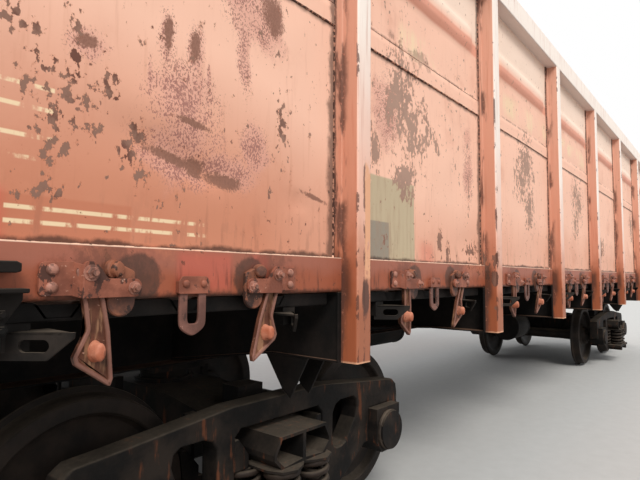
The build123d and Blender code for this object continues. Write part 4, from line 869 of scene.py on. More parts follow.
def bent_bar(path, radius, steps):
    """A round bar along points. radius may be a function of the point's number."""
    points = [Vector(p) for p in path]
    count = len(points)
    loops = []
    side = None
    for i, here in enumerate(points):
        way = (points[min(i + 1, count - 1)] - points[max(i - 1, 0)]).normalized()
        if side is None:
            side = way.orthogonal().normalized()
        side = (side - way * side.dot(way)).normalized()
        other = way.cross(side)
        size = radius(i) if callable(radius) else radius
        turns = [2 * math.pi * k / steps for k in range(steps)]
        loops.append([here + (side * math.cos(t) + other * math.sin(t)) * size for t in turns])
    return Form().loft(loops)


def dome(at, side, radius, height):
    """A round rivet head on a face that looks along Y: side is -1 or 1."""
    rows = [(side * height * math.sin(t), radius * math.cos(t)) for t in (0, 0.35, 0.7, 1.05, 1.35)]
    return turned([(-side * 0.002, radius)] + rows, at, "y", 14)


def bolt(at, side, radius, height, shank=0.0, axis="y"):
    """A hexagonal head or nut with a washer, and the end of the shank through it."""
    first, second, along = AXES[axis]
    flat = (at[first], at[second])
    washer_r, washer_t = radius * 1.35, side * radius * 0.16
    made = turned([(-side * 0.001, washer_r), (washer_t, washer_r)], at, axis, 18)
    levels = [(washer_t, 0.99), (side * height * 0.85, 1.0), (side * height, 0.86)]
    loops = [laid(ring(*flat, radius * share, 6), axis, at[along] + h) for h, share in levels]
    made.loft(loops)
    if shank:
        end = side * (height + shank)
        made.join(turned([(side * height, radius * 0.5), (end, radius * 0.5), (end, 0.0)], at, axis, 12))
    return made


def across(form):
    """The same form on the other side of the wagon."""
    return Form().join(form, lambda p: (p[0], -p[1], p[2]))


def endwise(form):
    """The same form at the other end of the wagon."""
    return Form().join(form, lambda p: (-p[0], p[1], p[2]))


def at_x(form, x, hand=1):
    """A form drawn round x = 0, moved along the wagon, and turned over for the other hand."""
    return Form().join(form, lambda p: (x + hand * p[0], p[1], p[2]))


def gathered(*forms):
    whole = Form()
    for form in forms:
        whole.join(form)
    return whole


def on_both_sides(form, xs=(0.0,), hands=(1,)):
    """Copies at places along the wagon, each followed by its mirror image on the other side."""
    copies = [at_x(form, x, hand) for x in xs for hand in hands]
    return gathered(*(one for near in copies for one in (near, across(near))))


TRIANGLES = {}
# Points nearer than this are one, and an edge wider than this is rounded in three steps
SAME_POINT, WIDE_EDGE = 0.00005, 0.005


def piece(name, form, finish, body="root", stands_for=(), bevel=0.0, crease=32):
    """Makes a form into an object with a finish, on a body, in place of CAD nodes."""
    mesh = bpy.data.meshes.new(name)
    mesh.from_pydata(form.points, [], form.faces)
    work = bmesh.new()
    work.from_mesh(mesh)
    bmesh.ops.recalc_face_normals(work, faces=work.faces)
    work.to_mesh(mesh)
    work.free()
    for polygon in mesh.polygons:
        polygon.use_smooth = True
    mesh.set_sharp_from_angle(angle=math.radians(crease))
    made = bpy.data.objects.new(name, mesh)
    bpy.context.scene.collection.objects.link(made)
    made.data.materials.append(MATERIALS[finish])
    if bevel:
        soften(made, bevel)
    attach(made, body)
    if stands_for:
        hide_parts(*stands_for)
    TRIANGLES[name] = sum(len(face) - 2 for face in form.faces)
    return made


def soften(made, width):
    """Takes the edge off every sharp corner, as casting, rolling and wear do."""
    if made.name in NODES:
        weld = made.modifiers.new("weld", "WELD")
        weld.merge_threshold = SAME_POINT
    edge = made.modifiers.new("soft_edges", "BEVEL")
    edge.width = width
    edge.segments = 3 if width > WIDE_EDGE else 2
    edge.limit_method = "ANGLE"
    edge.angle_limit = math.radians(28)
    edge.use_clamp_overlap = True
    edge.harden_normals = True

# %% Sizes of the wagon
POST_XS = [PITCH_X * s for s in (-2.5, -1.5, -0.5, 0.5, 1.5, 2.5)]
HATCH_XS = [-5.215] + [PITCH_X * s for s in (-2, -1, 0, 1, 2)] + [5.215]
END_X, FRAME_X, CORNER_X = 6.355, 6.400, 6.175
SHEET_T = 0.005
HATCHES = []
for tag, side in (("r", -1), ("l", 1)):
    HATCHES += [(f"hatch_{tag}{i}", side, x) for i, x in enumerate(HATCH_XS, 1)]
print("body", 2 * FRAME_X, "m long,", len(POST_XS), "posts a side,", len(HATCHES), "hatches")

# %% [markdown]
# ## Side sheets
# A real side is thin steel welded to stiff posts. Years of loads push it out between the posts, grabs
# and shovels dent it, and welding puckers it beside each seam. A flat face would show none of that,
# so each sheet is a fine grid whose points are pushed in and out: a slow swell in each bay that dies
# away at the posts, smaller dents in it, and a few dents placed one by one. The upper sheet laps over
# the lower one, and has a long pressed swage in each bay.

# %% Side sheets
BAY_EDGES = [-END_X] + POST_XS + [END_X]
LAST_BAY = len(BAY_EDGES) - 2
# Dents on the near side: x, z, half length, half height, tilt, depth (negative is inward)
DENTS = (
    (-5.33, 1.895, 0.16, 0.030, -0.30, -0.020), (-5.18, 1.845, 0.10, 0.028, -0.10, -0.016),
    (-5.30, 2.02, 0.15, 0.045, -0.25, 0.010), (-4.66, 1.80, 0.10, 0.018, -0.25, -0.016),
    (-5.47, 1.88, 0.03, 0.10, 0.45, -0.008), (-3.30, 2.25, 0.20, 0.16, 0.4, 0.008),
    (-2.9, 1.72, 0.22, 0.10, 0.1, -0.012), (-1.6, 2.1, 0.24, 0.2, 0.3, 0.010),
)


def eased(value, low, high):
    t = min(max((value - low) / (high - low), 0.0), 1.0)
    return t * t * (3 - 2 * t)


def bay_at(x):
    """The number of the bay at a place, and the places of its left and right edge."""
    bay = min(max(i for i, edge in enumerate(BAY_EDGES) if x >= edge - 1e-6), LAST_BAY)
    return bay, BAY_EDGES[bay], BAY_EDGES[bay + 1]


def waves(scale, x, z, seed):
    return noise.noise(Vector((x * scale, z * scale, seed)))


def dent(x, z, side):
    """How far the sheet stands out at a place on it."""
    bay, left, right = bay_at(x)
    from_edge = min(x - left, right - x)
    held = eased(from_edge, 0.115, 0.42)
    held *= eased(z, CHORD_TOP_Z, CHORD_TOP_Z + 0.25) * eased(-z, -TOP_RAIL_Z, -TOP_RAIL_Z + 0.2)
    near_seam = 1.0 - 0.75 * math.exp(-((z - SEAM_Z - 0.04) / 0.10) ** 2)
    swell = 0.012 * noise.noise(Vector((bay * 3.7, z * 0.9, side * 9.0))) + 0.004
    swell += 0.009 * waves(1.3, x, z, side * 4.0)
    small = 0.0032 * waves(4.5, x, z, side * 7.0)
    small += 0.0011 * noise.noise(Vector((x * 13.0, z * 11.0, side * 2.0)))
    out = (swell + small) * held * near_seam
    for dx, dz, long, high, tilt, depth in DENTS if side < 0 else ():
        a, b = x - dx, z - dz
        u = (a * math.cos(tilt) + b * math.sin(tilt)) / long
        v = (b * math.cos(tilt) - a * math.sin(tilt)) / high
        if u * u + v * v < 6:
            out += depth * math.exp(-(u * u + v * v)) * eased(from_edge, 0.115, 0.16)
    return out


def swage(x, z):
    """The long pressed ridge in each bay of the upper sheet."""
    middle = (SEAM_Z + 0.105 + TOP_RAIL_Z) / 2
    high = max(0.0, 1 - ((z - middle) / 0.095) ** 2)
    if not high:
        return 0.0
    bay, left, right = bay_at(x)
    from_end = min(x - left - (0.203 if bay else 0.27), right - x - (0.203 if bay < LAST_BAY else 0.27))
    return 0.026 * min(1.0, high * 1.6) ** 0.8 * eased(from_end, 0.0, 0.10)


def lapped(x, z):
    """The upper sheet stands off by its own thickness where it laps over the lower one."""
    return 0.0045 * (1 - eased(z, SEAM_Z + 0.102, LAP_TOP_Z)) + swage(x, z)


def side_sheet(side, heights, extra):
    """A closed sheet over these heights: its outer grid, its inner grid, and the rim between them."""
    columns = int(2 * END_X / 0.030)
    xs = [-END_X + 2 * END_X * i / columns for i in range(columns + 1)]
    loops = []
    for z in heights:
        row = [(x, ROOT_Y + dent(x, z, side) + extra(x, z)) for x in xs]
        loop = [(x, side * y, z) for x, y in row]
        loop += [(x, side * (y - SHEET_T), z) for x, y in reversed(row)]
        loops.append(loop)
    return Form().loft(loops)


low_heights = list(np.linspace(CHORD_Z + 0.010, SEAM_Z, 34))
high_heights = list(np.linspace(SEAM_Z + 0.0005, SEAM_Z + 0.101, 4))
high_heights += list(np.linspace(LAP_TOP_Z + 0.001, TOP_RAIL_Z - 0.001, 34))
for level, heights, extra in (("lower", low_heights, lambda x, z: 0.0), ("upper", high_heights, lapped)):
    sheets = gathered(*(side_sheet(side, heights, extra) for side in (-1, 1)))
    piece(f"side_plating_{level}", sheets, "side", stands_for=(f"side_sheets_{level}",), crease=50)

# %% [markdown]
# ## Weld beads
# Sheets meet posts and chords in rough hand-laid welds. A bead is a thin bar whose radius wanders, sunk
# to half its depth in the joint. At the seam it catches light along its top, and the sheet under it is
# darker.

# %% Weld beads
FLANGE_X, BEAD_Y = 0.113, 1.4905
# Beads along the wagon: distance from its middle, height, size and step
LONG_BEADS = (
    (BEAD_Y, SEAM_Z - 0.002, 0.0065, 0.016), (1.4895, LAP_TOP_Z, 0.0035, 0.03),
    (1.4915, CHORD_TOP_Z - 0.001, 0.0032, 0.016),
)


def bead(start, end, size, step):
    start, end = Vector(start), Vector(end)
    count = max(4, int((end - start).length / step))
    aside = Vector((1, 0, 0)) if end.z > start.z else Vector((0, 0, 1))
    points = []
    for i in range(count + 1):
        p = start.lerp(end, i / count)
        points.append(p + aside * (noise.noise(p * 40.0) * size * 0.35))
    return bent_bar(points, lambda i: size * (0.85 + 0.4 * noise.noise(points[i] * 90.0)), steps=6)


beads = Form()
for side in (-1, 1):
    for left, right in zip(BAY_EDGES, BAY_EDGES[1:]):
        x0, x1 = max(left + FLANGE_X, -CORNER_X), min(right - FLANGE_X, CORNER_X)
        for y, z, size, step in LONG_BEADS:
            beads.join(bead((x0, side * y, z), (x1, side * y, z), size, step))
    for x in POST_XS:
        for at in (x - FLANGE_X - 0.0005, x + FLANGE_X + 0.0005):
            foot, head = (at, side * BEAD_Y, CHORD_TOP_Z), (at, side * BEAD_Y, TOP_RAIL_Z)
            beads.join(bead(foot, head, 0.0055, 0.02))
piece("weld_beads", beads, "bead")

# %% [markdown]
# ## Posts and chords
# The posts are pressed from 7 mm plate: a deep hat with rounded bends between two flanges. Below the
# chord the flanges are gone and the hat runs on alone. The outline is drawn as a path, its corners are
# turned to arcs, and the path is thickened and drawn upwards.

# %% Side posts
POST_T = 0.007
POST_SPLIT_Z = CHORD_TOP_Z + 0.001


def post_path(flange):
    """The outer line of a post, (x, y), from flange to flange."""
    root = ROOT_Y + POST_T if flange else CHORD_Y
    path = [(-0.059, root), (-0.056, FACE_Y), (0.056, FACE_Y), (0.059, root)]
    if not flange:
        return softened(path, [0, 0.013, 0.013, 0], 5, closed=False)
    path = [(-FLANGE_X, root)] + path + [(FLANGE_X, root)]
    return softened(path, [0, 0.010, 0.013, 0.013, 0.010, 0], 5, closed=False)


def rising(path, thick, heights, sway):
    """A thick path in (x, y) drawn upwards, with each level shifted by sway."""
    outline = thickened(path, thick)
    loops = []
    for z in heights:
        shifts = [sway(x, z) for x, _ in outline]
        loops.append([(x + dx, y + dy, z) for (x, y), (dx, dy) in zip(outline, shifts)])
    return Form().loft(loops)


def post_halves(number):
    """A post above and below the chord's top. Only the lower half is knocked inward as well as aside."""
    def knock(x, z):
        return 0.0016 * noise.noise(Vector((x * 9 + number * 5, z * 2.4, 1.0)))

    def knocked_in(x, z):
        return knock(x, z) * 0.5, -abs(knock(x, z))

    upper_zs, lower_zs = np.linspace(POST_SPLIT_Z, TOP_RAIL_Z, 26), np.linspace(POST_FOOT_Z, POST_SPLIT_Z, 7)
    upper = rising(post_path(True), POST_T, upper_zs, lambda x, z: (knock(x, z) * 0.5, 0.0))
    return upper, rising(post_path(False), POST_T, lower_zs, knocked_in)


posts = Form()
for number, x in enumerate(POST_XS):
    for half in post_halves(number):
        posts.join(on_both_sides(half, [x]))
piece("pressed_posts", posts, "post", stands_for=("side_posts",), crease=40)

# %% Bottom chords
CHORD_STEPS = 256
chord_path = [(CHORD_Y - 0.100, CHORD_Z), (CHORD_Y, CHORD_Z), (CHORD_Y, CHORD_TOP_Z)]
chord_path = softened(chord_path, [0, 0.016, 0], 5, closed=False)
chord_outline = thickened(chord_path, -0.010)
loops = []
for i in range(CHORD_STEPS + 1):
    x = -FRAME_X + 2 * FRAME_X * i / CHORD_STEPS
    wave = 0.0018 * noise.noise(Vector((x * 2.1, 0.0, 5.0)))
    nicks = 0.0022 * noise.noise(Vector((x * 7.0, 3.0, 1.0)))
    shifts = [(wave * (z - CHORD_Z) * 4, nicks * (z > CHORD_TOP_Z - 0.02)) for _, z in chord_outline]
    loops.append([(x, y + dy, z + dz) for (y, z), (dy, dz) in zip(chord_outline, shifts)])
chord = Form().loft(loops)
piece("lower_chords", on_both_sides(chord), "chord", stands_for=("bottom_chords",), crease=40)
print("sides made:", TRIANGLES)

# %% [markdown]
# ## Latches
# Each hatch is held by a lock at each end: a plate riveted to the chord, a round cam behind its lower
# arm, and a forged hook that swings under the hatch. The plate lies on the chord at its riveted end and
# steps outward to make room for the hook. The hook leans in under the wagon, has a raised edge round a
# hollow face, and a knob to knock it free with. They are drawn flat, as offsets from the hatch's middle
# and heights above the chord's lower edge, given rounded corners and thickness, and copied to 28 places.

# %% Lock plates, cams and hooks
PLATE_Y = CHORD_Y + 0.038
FOOT_T, ARM_T = 0.013, 0.011
BOLT_X, BOLT_Z, CAM_X, CAM_Z = 0.372, 0.078, 0.240, 0.034
FOOT = [(408, 14), (500, 14), (500, 106), (408, 110)]
ARM = [(396, 6), (397, 82), (390, 110), (360, 110), (342, 90), (322, 62), (216, 62), (214, 8)]
ARM_CORNERS = [3, 10, 14, 12, 20, 16, 25, 25]
HOOK = [
    (408, 84), (392, 102), (362, 98), (338, 50), (321, -4), (299, -90), (277, -232), (284, -256), (392, -180),
    (400, -158), (368, -84), (382, -14), (400, 50),
]
HOOK_CORNERS = [10, 12, 12, 20, 20, 30, 8, 6, 12, 16, 30, 20, 14]
# The step between a plate's foot and its arm: offset, distance from the middle, lowest and highest
PLATE_STEP = (
    (0.416, CHORD_Y, 0.014, 0.108), (0.411, CHORD_Y, 0.013, 0.108),
    (0.393, PLATE_Y - ARM_T, 0.006, 0.100), (0.388, PLATE_Y - ARM_T, 0.006, 0.100),
)
LOBE = [(312, 60), (300, 92), (262, 100), (226, 84), (222, 40)]
LOBE_X, LOBE_Z, LOBE_R = 0.268, CHORD_Z - 0.007, 0.044
# Reach and radius along the spindle's end and along the knob
SPINDLE = ((0.0, 0.029), (0.010, 0.029), (0.014, 0.0245), (0.028, 0.0235), (0.034, 0.0185), (0.036, 0.010))
KNOB = (
    (-0.010, 0.0200), (0.003, 0.0185), (0.008, 0.0165), (0.026, 0.0165), (0.032, 0.0140), (0.035, 0.0085),
    (0.0355, 0.003),
)
KNOB_X, KNOB_DROP = 0.338, 0.146


def drawn_in(flat, gap):
    """The outline set inward by gap, whichever way it runs."""
    twice_area = sum(a[0] * b[1] - b[0] * a[1] for a, b in zip(flat, flat[1:] + flat[:1]))
    return moved_out(flat, -gap if twice_area > 0 else gap)


def upright(flat):
    """Offsets in millimetres from the hatch's middle and the chord's foot, as (x, z) in metres."""
    return [(a / 1000, CHORD_Z + b / 1000) for a, b in flat]


def slab_y(flat, y0, y1):
    """A plate on the near side between two distances from the middle of the wagon."""
    return prism(flat, "y", -y0, -y1)


def stacked(*rows):
    """Skin over (outline, distance) pairs on the near side."""
    return Form().loft([laid(flat, "y", -y) for flat, y in rows])


def lock_plate():
    foot = softened(upright(FOOT), [0, 0.016, 0.016, 0], 4)
    arm = softened(upright(ARM), [r / 1000 for r in ARM_CORNERS], 5)
    plate = slab_y(foot, CHORD_Y + 0.0003, CHORD_Y + FOOT_T).join(slab_y(arm, PLATE_Y - ARM_T, PLATE_Y))
    loops = []
    for x, y, low, high in PLATE_STEP:
        back = y + FOOT_T - 0.001
        loops.append([(x, -b, CHORD_Z + h) for b, h in ((y, low), (y, high), (back, high), (back, low))])
    return plate.join(Form().loft(loops))


def lock_cam():
    """The round cam, and the spindle's blunt end, which stands out at a slant above the arm."""
    turns = np.linspace(math.pi, 2 * math.pi, 15)
    arc = [(LOBE_X + LOBE_R * math.cos(t), LOBE_Z + LOBE_R * math.sin(t)) for t in turns]
    lobe = softened(arc + upright(LOBE), 0.012, 2)
    rim = drawn_in(lobe, 0.004)
    cam = stacked((lobe, CHORD_Y + 0.0003), (lobe, CHORD_Y + 0.013), (rim, CHORD_Y + 0.0165))
    tilt = Vector((-0.45, -1.0, 0.10)).normalized()
    sideways = tilt.cross(Vector((0, 0, 1))).normalized()
    upward = sideways.cross(tilt)
    start = Vector((0.298, -CHORD_Y - 0.004, CHORD_Z + 0.088))
    turns = np.linspace(0, 2 * math.pi, 20, endpoint=False)
    ways = [sideways * math.cos(t) + upward * math.sin(t) for t in turns]
    cam.join(Form().loft([[start + tilt * reach + way * size for way in ways] for reach, size in SPINDLE]))
    shaft = turned([(0, 0.0150), (-0.026, 0.0150)], (CAM_X, -CHORD_Y - 0.012, CHORD_Z + CAM_Z), "y", 16)
    return cam.join(shaft)


def lock_hook():
    """The hook with its raised rim, leaning in below the chord, and the block that it hangs on."""
    shape = softened(upright(HOOK), [r / 1000 for r in HOOK_CORNERS], 4)
    back, face = HOOK_Y, HOOK_Y + HOOK_T
    # how far the outline is drawn in at each distance: round the back edge, up to the rim and into the hollow
    levels = (
        (0.002, back), (0, back + 0.002), (0, face - 0.003),
        (0.003, face), (0.010, face), (0.016, face - 0.008),
    )
    flat = stacked(*((drawn_in(shape, gap) if gap else shape, y) for gap, y in levels))
    hook = Form().join(flat, lambda p: (p[0], p[1] + max(0.0, CHORD_Z - p[2]) * HOOK_LEAN, p[2]))
    block_ys, block_zs = (-CHORD_Y + 0.001, -HOOK_Y - 0.002), (CHORD_Z + 0.062, CHORD_Z + 0.088)
    return hook.join(box((BOLT_X, BOLT_X + 0.026), block_ys, block_zs))


def lock_knob():
    root = HOOK_Y + HOOK_T - KNOB_DROP * HOOK_LEAN
    return stacked(*((ring(KNOB_X, CHORD_Z - KNOB_DROP, size, 20, 1.6), root + out) for out, size in KNOB))


def lock_heads():
    """Two rivets in the foot, and the bolts of the hook and the cam."""
    heads = Form()
    for z in (0.086, 0.037):
        heads.join(dome((0.467, -CHORD_Y - FOOT_T, CHORD_Z + z), -1, 0.0165, 0.012))
    heads.join(bolt((BOLT_X, -PLATE_Y, CHORD_Z + BOLT_Z), -1, 0.0175, 0.016, shank=0.012))
    return heads.join(bolt((CAM_X, -PLATE_Y, CHORD_Z + CAM_Z), -1, 0.0150, 0.014, shank=0.008))


# The pieces of the locks, drawn for the near side and hatch middle at x = 0
LOCK_PIECES = (
    ("latch_plates", lock_plate, "latch_plate", ("lock_plates",), 0.0018, 32),
    ("latch_cams", lock_cam, "latch", ("lock_sectors",), 0.0, 32),
    ("latch_hooks", lock_hook, "hook", ("lock_hooks",), 0.0012, 32),
    ("latch_knobs", lock_knob, "knob", (), 0.0, 60),
    ("latch_rivets", lock_heads, "rivet", (), 0.0, 40),
)
for name, draw, finish, stands_for, bevel, crease in LOCK_PIECES:
    locks = on_both_sides(draw(), HATCH_XS, (-1, 1))
    piece(name, locks, finish, stands_for=stands_for, bevel=bevel, crease=crease)

# %% [markdown]
# ## Lashing shackles
# Under the middle of each hatch's place on the chord hangs a long closed loop of flat bar, held by a
# clip plate with two rivets. The loop narrows to a rounded point. Its outer and inner outlines have as
# many points each, so skin between them at two depths makes the bar, and a bevel rounds it.

# %% Shackles
CLIP = [(-63, 11), (63, 11), (63, 52), (50, 70), (-50, 70), (-63, 52)]
CLIP_Y = CHORD_Y + 0.020
LOOP_STEPS = 48


def shackle_clip():
    clip = softened(upright(CLIP), [0.006, 0.006, 0.014, 0.014, 0.014, 0.014], 4)
    made = slab_y(clip, CLIP_Y - 0.007, CLIP_Y)
    for low, high in ((-0.063, -0.050), (0.050, 0.063)):
        made.join(box((low, high), (-CHORD_Y + 0.001, -CLIP_Y + 0.006), (CHORD_Z + 0.014, CHORD_Z + 0.054)))
    for x in (-0.036, 0.036):
        made.join(dome((x, -CLIP_Y, CHORD_Z + 0.044), -1, 0.0135, 0.010))
    return made


def shackle_loop():
    outer, inner = [], []
    for i in range(LOOP_STEPS):
        t = 2 * math.pi * (i + 0.5) / LOOP_STEPS
        c, s = math.cos(t), math.sin(t)
        square = (abs(c) ** 5 + abs(s) ** 5) ** -0.2
        narrowing = 1 - 0.10 * max(0.0, -s) ** 2
        above, below = 0.086 * s * square, (0.089 + 0.004 * (1 - abs(c))) * abs(s) ** 0.75
        outer.append((0.054 * square * c * narrowing, CHORD_Z - 0.036 + (above if s > 0 else -below)))
        inner.append((0.0225 * square * c, CHORD_Z - 0.034 + 0.055 * square * s))
    back, front = -CHORD_Y - 0.0005, -CHORD_Y - 0.0135
    rows = ((outer, back), (outer, front), (inner, front), (inner, back))
    return Form().loft([laid(flat, "y", y) for flat, y in rows], joined=True)


shackle_xs = [x - 0.008 for x in HATCH_XS]
piece("shackle_clips", on_both_sides(shackle_clip(), shackle_xs), "latch_plate", bevel=0.0014)
loops = on_both_sides(shackle_loop(), shackle_xs)
piece("shackle_loops", loops, "shackle", stands_for=("tie_shackles",), bevel=0.0045)

# %% [markdown]
# ## Drop hatches
# A hatch is a pressed cover with three troughs across it, an edge channel under its outer side, two
# hinge arms that hang on the pins of the middle beam, and at each outer corner a slanted lug with a
# long slot, in which the hook catches. It is made once and copied to its fourteen bodies.

# %% Hatches
HATCH_TOP_Z = CHORD_Z - 0.005
HATCH_T, HATCH_HALF = 0.006, 0.770
HATCH_LOW_Z = HATCH_TOP_Z - HATCH_T
HATCH_IN_Y, HATCH_OUT_Y = 0.134, 1.460
TROUGH_Z = HATCH_LOW_Z - 0.042
LUG_NEAR, LUG_FAR = Vector((0.436, -1.586, 0)), Vector((0.562, -1.440, 0))
LUG_LOW, LUG_HIGH, LUG_T = CHORD_Z - 0.153, CHORD_Z - 0.079, 0.012
SLOT_HALF, SLOT_R, SLOT_STEPS = 0.0235, 0.0165, 36


def pressed_cover():
    """The sheet with its three troughs, sagging a little, and the channel under its outer side."""
    path = [(-HATCH_HALF, HATCH_LOW_Z)]
    for middle in (-HATCH_HALF * 0.55, 0, HATCH_HALF * 0.55):
        for reach, z in ((-0.065, HATCH_LOW_Z), (-0.035, TROUGH_Z), (0.035, TROUGH_Z), (0.065, HATCH_LOW_Z)):
            path.append((middle + reach, z))
    path.append((HATCH_HALF, HATCH_LOW_Z))
    path = softened(path, 0.014, 3, closed=False)
    outline = thickened(path, -HATCH_T)
    loops = []
    for y in np.linspace(HATCH_IN_Y, HATCH_OUT_Y, 15):
        free = eased(min(y - HATCH_IN_Y, HATCH_OUT_Y - y), 0, 0.2)
        sags = [min(0.004 * waves(2.3, x, y, 8.0) * free, 0.003) for x, _ in outline]
        loops.append([(x, -y, z + sag) for (x, z), sag in zip(outline, sags)])
    low = TROUGH_Z - HATCH_T
    lip = [(HATCH_OUT_Y, HATCH_LOW_Z), (HATCH_OUT_Y, low), (HATCH_OUT_Y - 0.070, low)]
    lip = [(-y, z) for y, z in softened(lip, [0, 0.010, 0], 3, closed=False)]
    return Form().loft(loops).join(prism(thickened(lip, -HATCH_T), "x", -HATCH_HALF, HATCH_HALF))


def hatch_cover():
    """The pressed cover with its two hinge arms and their rivets."""
    cover = pressed_cover()
    pin_low, pin_high = CHORD_Z - 0.055, CHORD_Z - 0.029
    arm = [(0.122, pin_low), (0.122, pin_high), (0.138, HATCH_LOW_Z), (0.264, HATCH_LOW_Z),
           (0.264, HATCH_LOW_Z - 0.022), (0.158, pin_low)]
    arm = softened([(-y, z) for y, z in arm], 0.008, 3)
    head = [(-0.003, 0.011), (0.006, 0.011), (0.008, 0.007)]
    for middle in (-0.300, 0.300):
        cover.join(prism(arm, "x", middle - 0.020, middle + 0.020))
        for y in (-0.184, -0.234):
            cover.join(turned(head, (middle, y, HATCH_TOP_Z - 0.004), "z", 10))
    return cover


def slotted_plate(width, height):
    """The lug's plate with a long round-ended slot, drawn flat as (along, up)."""
    outer = [(0, height), (width, height), (width, 0), (0.070, 0), (0.002, height - 0.016)]
    cx, cy = width / 2 + 0.008, height / 2 + 0.001
    inner = []
    for i in range(SLOT_STEPS):
        c, s = math.cos(2 * math.pi * i / SLOT_STEPS), math.sin(2 * math.pi * i / SLOT_STEPS)
        inner.append((cx + math.copysign(SLOT_HALF, c) + SLOT_R * c, cy + SLOT_R * s))
    around = []
    for a, b in inner:
        ray = Vector((a - cx, b - cy)).normalized()
        best = 9.0
        for p, q in zip(outer, outer[1:] + outer[:1]):
            edge, gap = Vector(q) - Vector(p), Vector(p) - Vector((cx, cy))
            slope = ray.x * edge.y - ray.y * edge.x
            if abs(slope) > 1e-9:
                reach = (gap.x * edge.y - gap.y * edge.x) / slope
                share = (gap.x * ray.y - gap.y * ray.x) / slope
                if reach > 0 and -1e-6 <= share <= 1 + 1e-6:
                    best = min(best, reach)
        around.append((cx + ray.x * best, cy + ray.y * best))
    for corner in outer:
        nearest = min(range(SLOT_STEPS), key=lambda i: math.dist(around[i], corner))
        around[nearest] = corner
    return around, inner


def lock_lug():
    """One lug, for the near side, at the far end of the hatch."""
    along = (LUG_FAR - LUG_NEAR).normalized()
    away = Vector((along.y, -along.x, 0))
    outer, inner = slotted_plate((LUG_FAR - LUG_NEAR).length, LUG_HIGH - LUG_LOW)

    def put(flat, lift):
        return [tuple(LUG_NEAR + along * a - away * lift + Vector((0, 0, LUG_LOW + b))) for a, b in flat]

    plate = Form().loft([put(outer, 0), put(inner, 0), put(inner, LUG_T), put(outer, LUG_T)], joined=True)
    shelf = [(LUG_NEAR.x, LUG_NEAR.y), (LUG_FAR.x, LUG_FAR.y), (LUG_NEAR.x, LUG_FAR.y + 0.02)]
    plate.join(prism(softened(shelf, [0.012, 0.004, 0.004], 3), "z", LUG_HIGH - 0.008, LUG_HIGH))
    return plate.join(box((0.492, 0.562), (-1.452, -HATCH_OUT_Y + 0.060), (LUG_HIGH - 0.054, HATCH_LOW_Z)))


near_hatch = hatch_cover()
lug = lock_lug()
near_lugs = gathered(lug, endwise(lug))
for name, side, x in HATCHES:
    body, lugs = at_x(near_hatch, x), at_x(near_lugs, x)
    if side > 0:
        body, lugs = across(body), across(lugs)
    piece(name.replace("hatch", "drop_cover"), body, "hatch", name, (name,))
    piece(name.replace("hatch", "lock_lugs"), lugs, "lug", name, bevel=0.0015)
print("latches and hatches made:", sum(TRIANGLES.values()), "triangles so far")

# %% [markdown]
# ## Wheelsets
# A wheel is a turned form: hub, thin curved web, thick rim and a flange on its inner side. One profile,
# given as distances along the axle and radii, makes the whole wheel, and the axle is a second profile.
# All of it is dull brown, the tread too, as on a wagon that has stood for a while.

# %% Wheelsets
BOLSTER_X, HALF_BASE = 4.325, 0.925
WHEEL_Z = RAIL_Z + 0.4785
# Distances along the axle and radii, in millimetres
WHEEL = [
    (690, 90), (690, 128), (698, 136), (742, 140), (757, 170), (764, 230), (760, 300), (750, 360), (735, 396),
    (724, 408), (720, 420), (720, 486), (722.5, 496.5), (728, 503.5), (735, 506.5), (743.5, 503), (749, 492),
    (753, 484.5), (764, 479.5), (790, 478.5), (836, 475.5), (846, 471.5), (850, 466), (850, 412),
    (842, 404), (815, 398), (796, 384), (786, 350), (790, 290), (797, 220), (800, 172), (822, 146),
    (868, 138), (878, 130), (878, 90),
]
AXLE = [(-500, 82.5), (500, 82.5), (690, 97), (880, 97), (900, 92), (925, 82), (929, 66)]


def in_metres(profile, hand=1):
    return [(hand * a / 1000, r / 1000) for a, r in profile]


WHEEL_XS = (-BOLSTER_X - HALF_BASE, -BOLSTER_X + HALF_BASE, BOLSTER_X - HALF_BASE, BOLSTER_X + HALF_BASE)
for i, x in enumerate(WHEEL_XS, 1):
    middle, name = (x, 0.0, WHEEL_Z), f"wheelset_{i}"
    wheels = on_both_sides(turned(in_metres(WHEEL, -1), middle, "y", 96, ends=False))
    axle = turned(in_metres(AXLE), middle, "y", 48)
    axle.join(across(turned(in_metres(AXLE[1:]), middle, "y", 48)))
    piece(f"turned_wheels_{i}", wheels, "wheel", name, (name,), crease=25)
    piece(f"axle_{i}", axle, "axle", name, crease=25)

# %% [markdown]
# ## Springs
# Seven coil springs stand in each side frame. A spring is a round bar along a helix, with its first and
# last half turn lying almost flat so that it has a seat, and the pitch even between.

# %% Springs
SPRING_LOW, SPRING_HIGH = RAIL_Z + 0.285, RAIL_Z + 0.534
JOURNAL_Y = 1.018
SEAT_TURNS = 0.55
SPRING_ROWS = ((-0.164, (-0.110, 0.110)), (0.0, (-0.216, 0.0, 0.216)), (0.164, (-0.110, 0.110)))
SPRING_SPOTS = [(dx, dy) for dy, row in SPRING_ROWS for dx in row]


def coil(x, y, radius, wire, turns, hand=1):
    height = SPRING_HIGH - SPRING_LOW - 2 * wire
    count, rising_turns = int(turns * 22), turns - 2 * SEAT_TURNS
    points = []
    for i in range(count + 1):
        t = i / count * turns
        rise = min(max(t - SEAT_TURNS, 0.0), rising_turns) / rising_turns
        angle = hand * 2 * math.pi * t
        z = SPRING_LOW + wire + height * rise
        points.append((x + radius * math.cos(angle), y + radius * math.sin(angle), z))
    return bent_bar(points, wire, steps=8)


